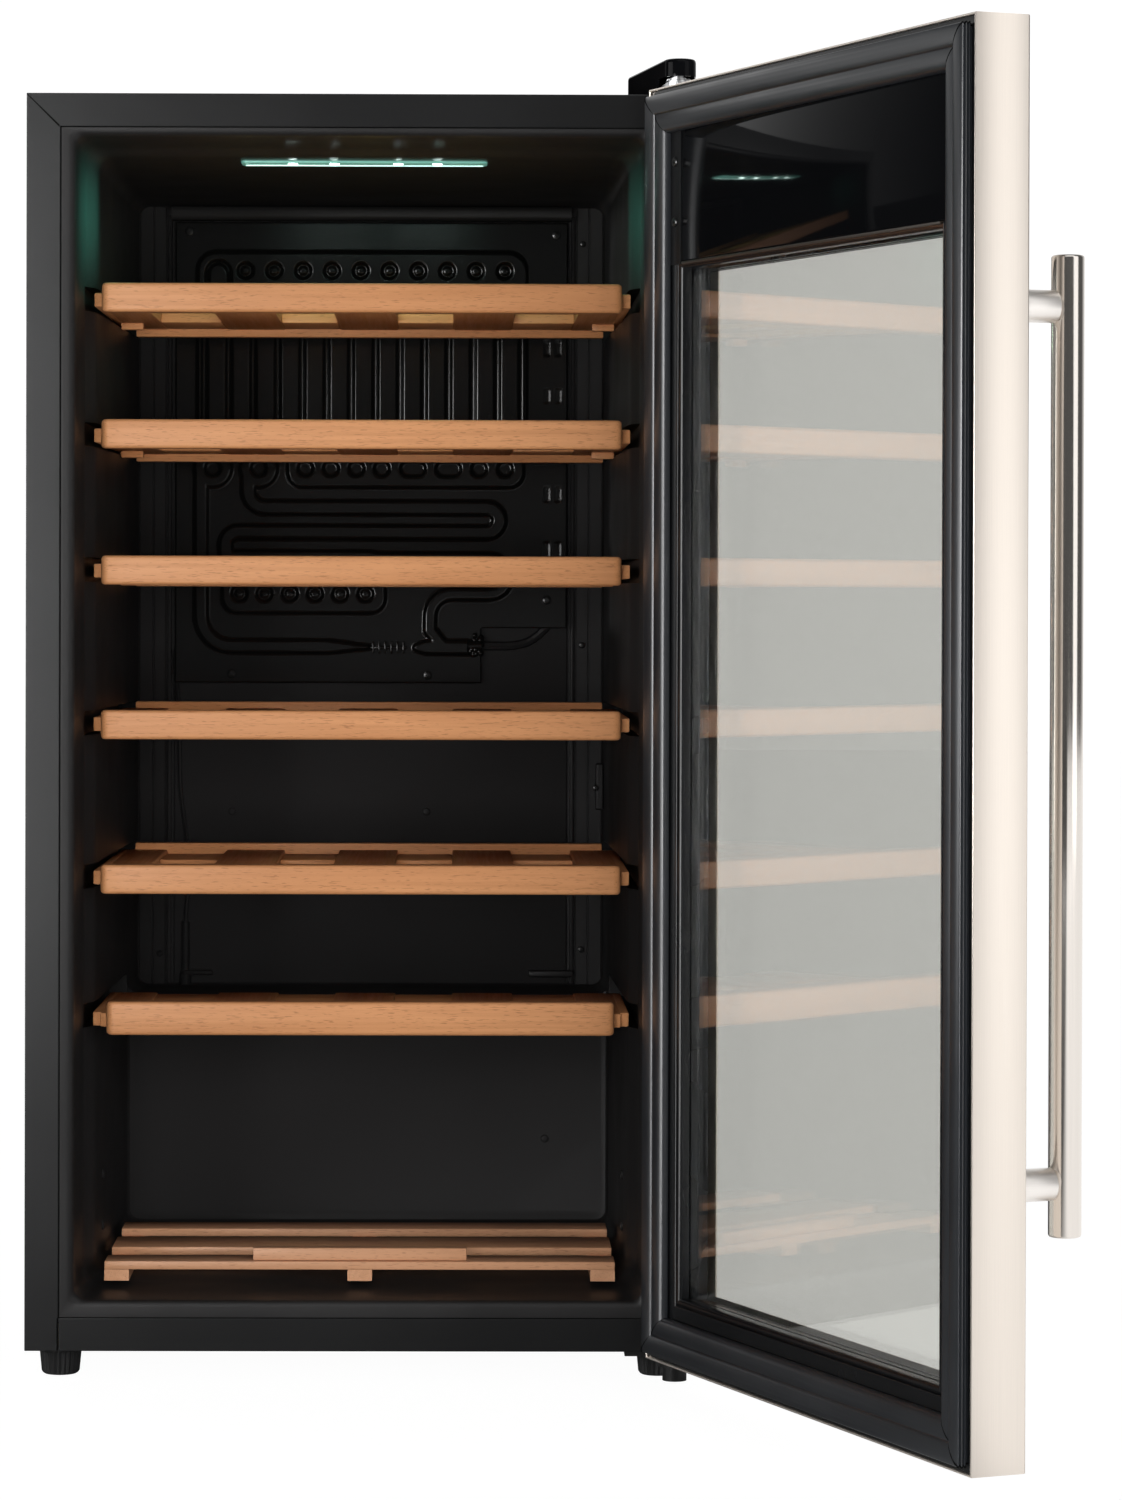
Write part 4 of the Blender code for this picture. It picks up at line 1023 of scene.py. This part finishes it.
def hinge_cover():
    """The glossy cap, with a round nose over the pin and open underneath, and the washers on the pin."""
    nose, radius = (204.0, -22.5), 10.4

    def outline(inset):
        points = arc(nose, radius - inset, 195, 360, 20)
        return points + [
            (214.4 - inset, -12.0), (214.4 - inset, 74.5 - inset), (212.6 - inset, 76.6 - inset),
            (176.4 + inset, 76.6 - inset), (174.6 + inset, 75.0 - inset),
        ]

    def ring(inset, z):
        return [(x, y, z) for x, y in outline(inset)]

    shell = loft([ring(0.0, 810.4), ring(0.0, 827.4), ring(0.25, 828.6), ring(0.9, 829.5), ring(1.9, 829.9)])
    hollow = prism(outline(1.5), 800.0, 828.2)
    front_cuts = [block((150, -60, 800), (230, 1, 811.5)), block((150, -60, 800), (230, -6, 818.6))]
    cap = boolean(shell, [hollow, *front_cuts])
    # The cap's left faces take the dull copy of its black: painted shade in place of the bright room they would
    # mirror
    for face in cap.faces:
        face.material_index = 1 if face.normal.x < -0.9 else 0
    materials = ["panel_gloss", "cap_side_painted_shade"]
    piece("hinge_cap", cap, "cabinet", "panel_gloss", ["hinge_upper_cover"], materials, 30.0)
    pin = (PIVOT.x / MM, (PIVOT.y - FRONT) / MM)
    stack = [(6.0, 815.4), (6.0, 816.6), (5.2, 817.0), (5.2, 818.0), (3.4, 818.2), (3.4, 822.0)]
    plate = rounded_block((196.0, -20.0, 816.9), (211.0, 4.0, 818.2), 0.3, 2)
    piece("hinge_washers", merged([turned(stack, pin, 32), plate]), "cabinet", "zinc_steel")


def joint_lines():
    """Lays the fine joint lines of the cabinet's front as thin dark strips."""
    lines = []
    rail, half, proud, edge = 21.2, 0.5, -0.04, 0.4
    skew = 1.5 * half
    top = box_mm("outer_casing")[1].z
    for side in (-1, 1):
        outer, inner = side * (CASE_HALF - edge), side * (CASE_HALF - rail)
        mitre = [(outer, top - edge - skew), (outer, top - edge)]
        mitre += [(inner, top - rail + skew), (inner, top - rail - skew)]
        lines.append(prism(mitre, proud, 0.5, "y"))
        lines.append(block((inner - half, proud, 0.3), (inner + half, 0.5, rail)))
    low, high = box_mm("inner_liner")
    proud, half = -0.03, 0.35
    for x in (low.x, high.x):
        lines.append(block((x - half, proud, low.z - half), (x + half, 1.9, high.z + half)))
    for z in (low.z, high.z):
        lines.append(block((low.x - half, proud, z - half), (high.x + half, 1.9, z + half)))
    piece("rail_joints", merged(lines), "cabinet", "black_rubber", (), ["joint_black"])


def seam():
    """The black shadow gap between the casing's rails and the liner's flange."""
    low, high = box_mm("inner_liner")
    outer = block((low.x - 4, 1.75, low.z - 4), (high.x + 4, 2.3, high.z + 4))
    ring = boolean(outer, [block((low.x + 3, 0, low.z + 3), (high.x - 3, 4, high.z - 3))])
    piece("flange_seam", ring, "cabinet", "black_rubber")


def soften_nodes():
    """Rounds the edges of the casing and base, and of the small brackets, boxes and covers."""
    for name, width in (
        ("outer_casing", 0.45), ("base_front_rail", 0.4), ("base_pan", 0.3), ("back_panel", 0.2),
        ("hinge_upper_bracket", 0.4), ("hinge_lower_bracket", 0.4), ("thermostat_sensor", 0.5),
        ("drain_tray", 0.8), ("power_inlet", 0.4), ("lead_gland", 0.3), ("control_window", 0.3),
    ):
        soften(name, width)


def condenser_wires():
    """The upright wires welded to the back of the condenser tube."""
    count, width, behind = 44, 328.0, 430.6
    wires = []
    for i in range(count):
        x = -width / 2 + i * width / (count - 1)
        wires.append(turned([(0.75, 205.0), (0.75, 725.0)], (x, behind), 6))
    piece("condenser_wires", merged(wires), "cabinet", "black_enamel")


make_camera()
make_world()
make_floor()
make_lights()
dress_cad_nodes()
steel_shell()
inner_frame()
door_gasket()
glazing()
control_panel()
handle()
liner()
evaporator()
evaporator_fittings()
lamp()
shelves()
floor_rack()
feet()
hinge_cover()
joint_lines()
seam()
soften_nodes()
condenser_wires()

scene.view_settings.view_transform = "Standard"
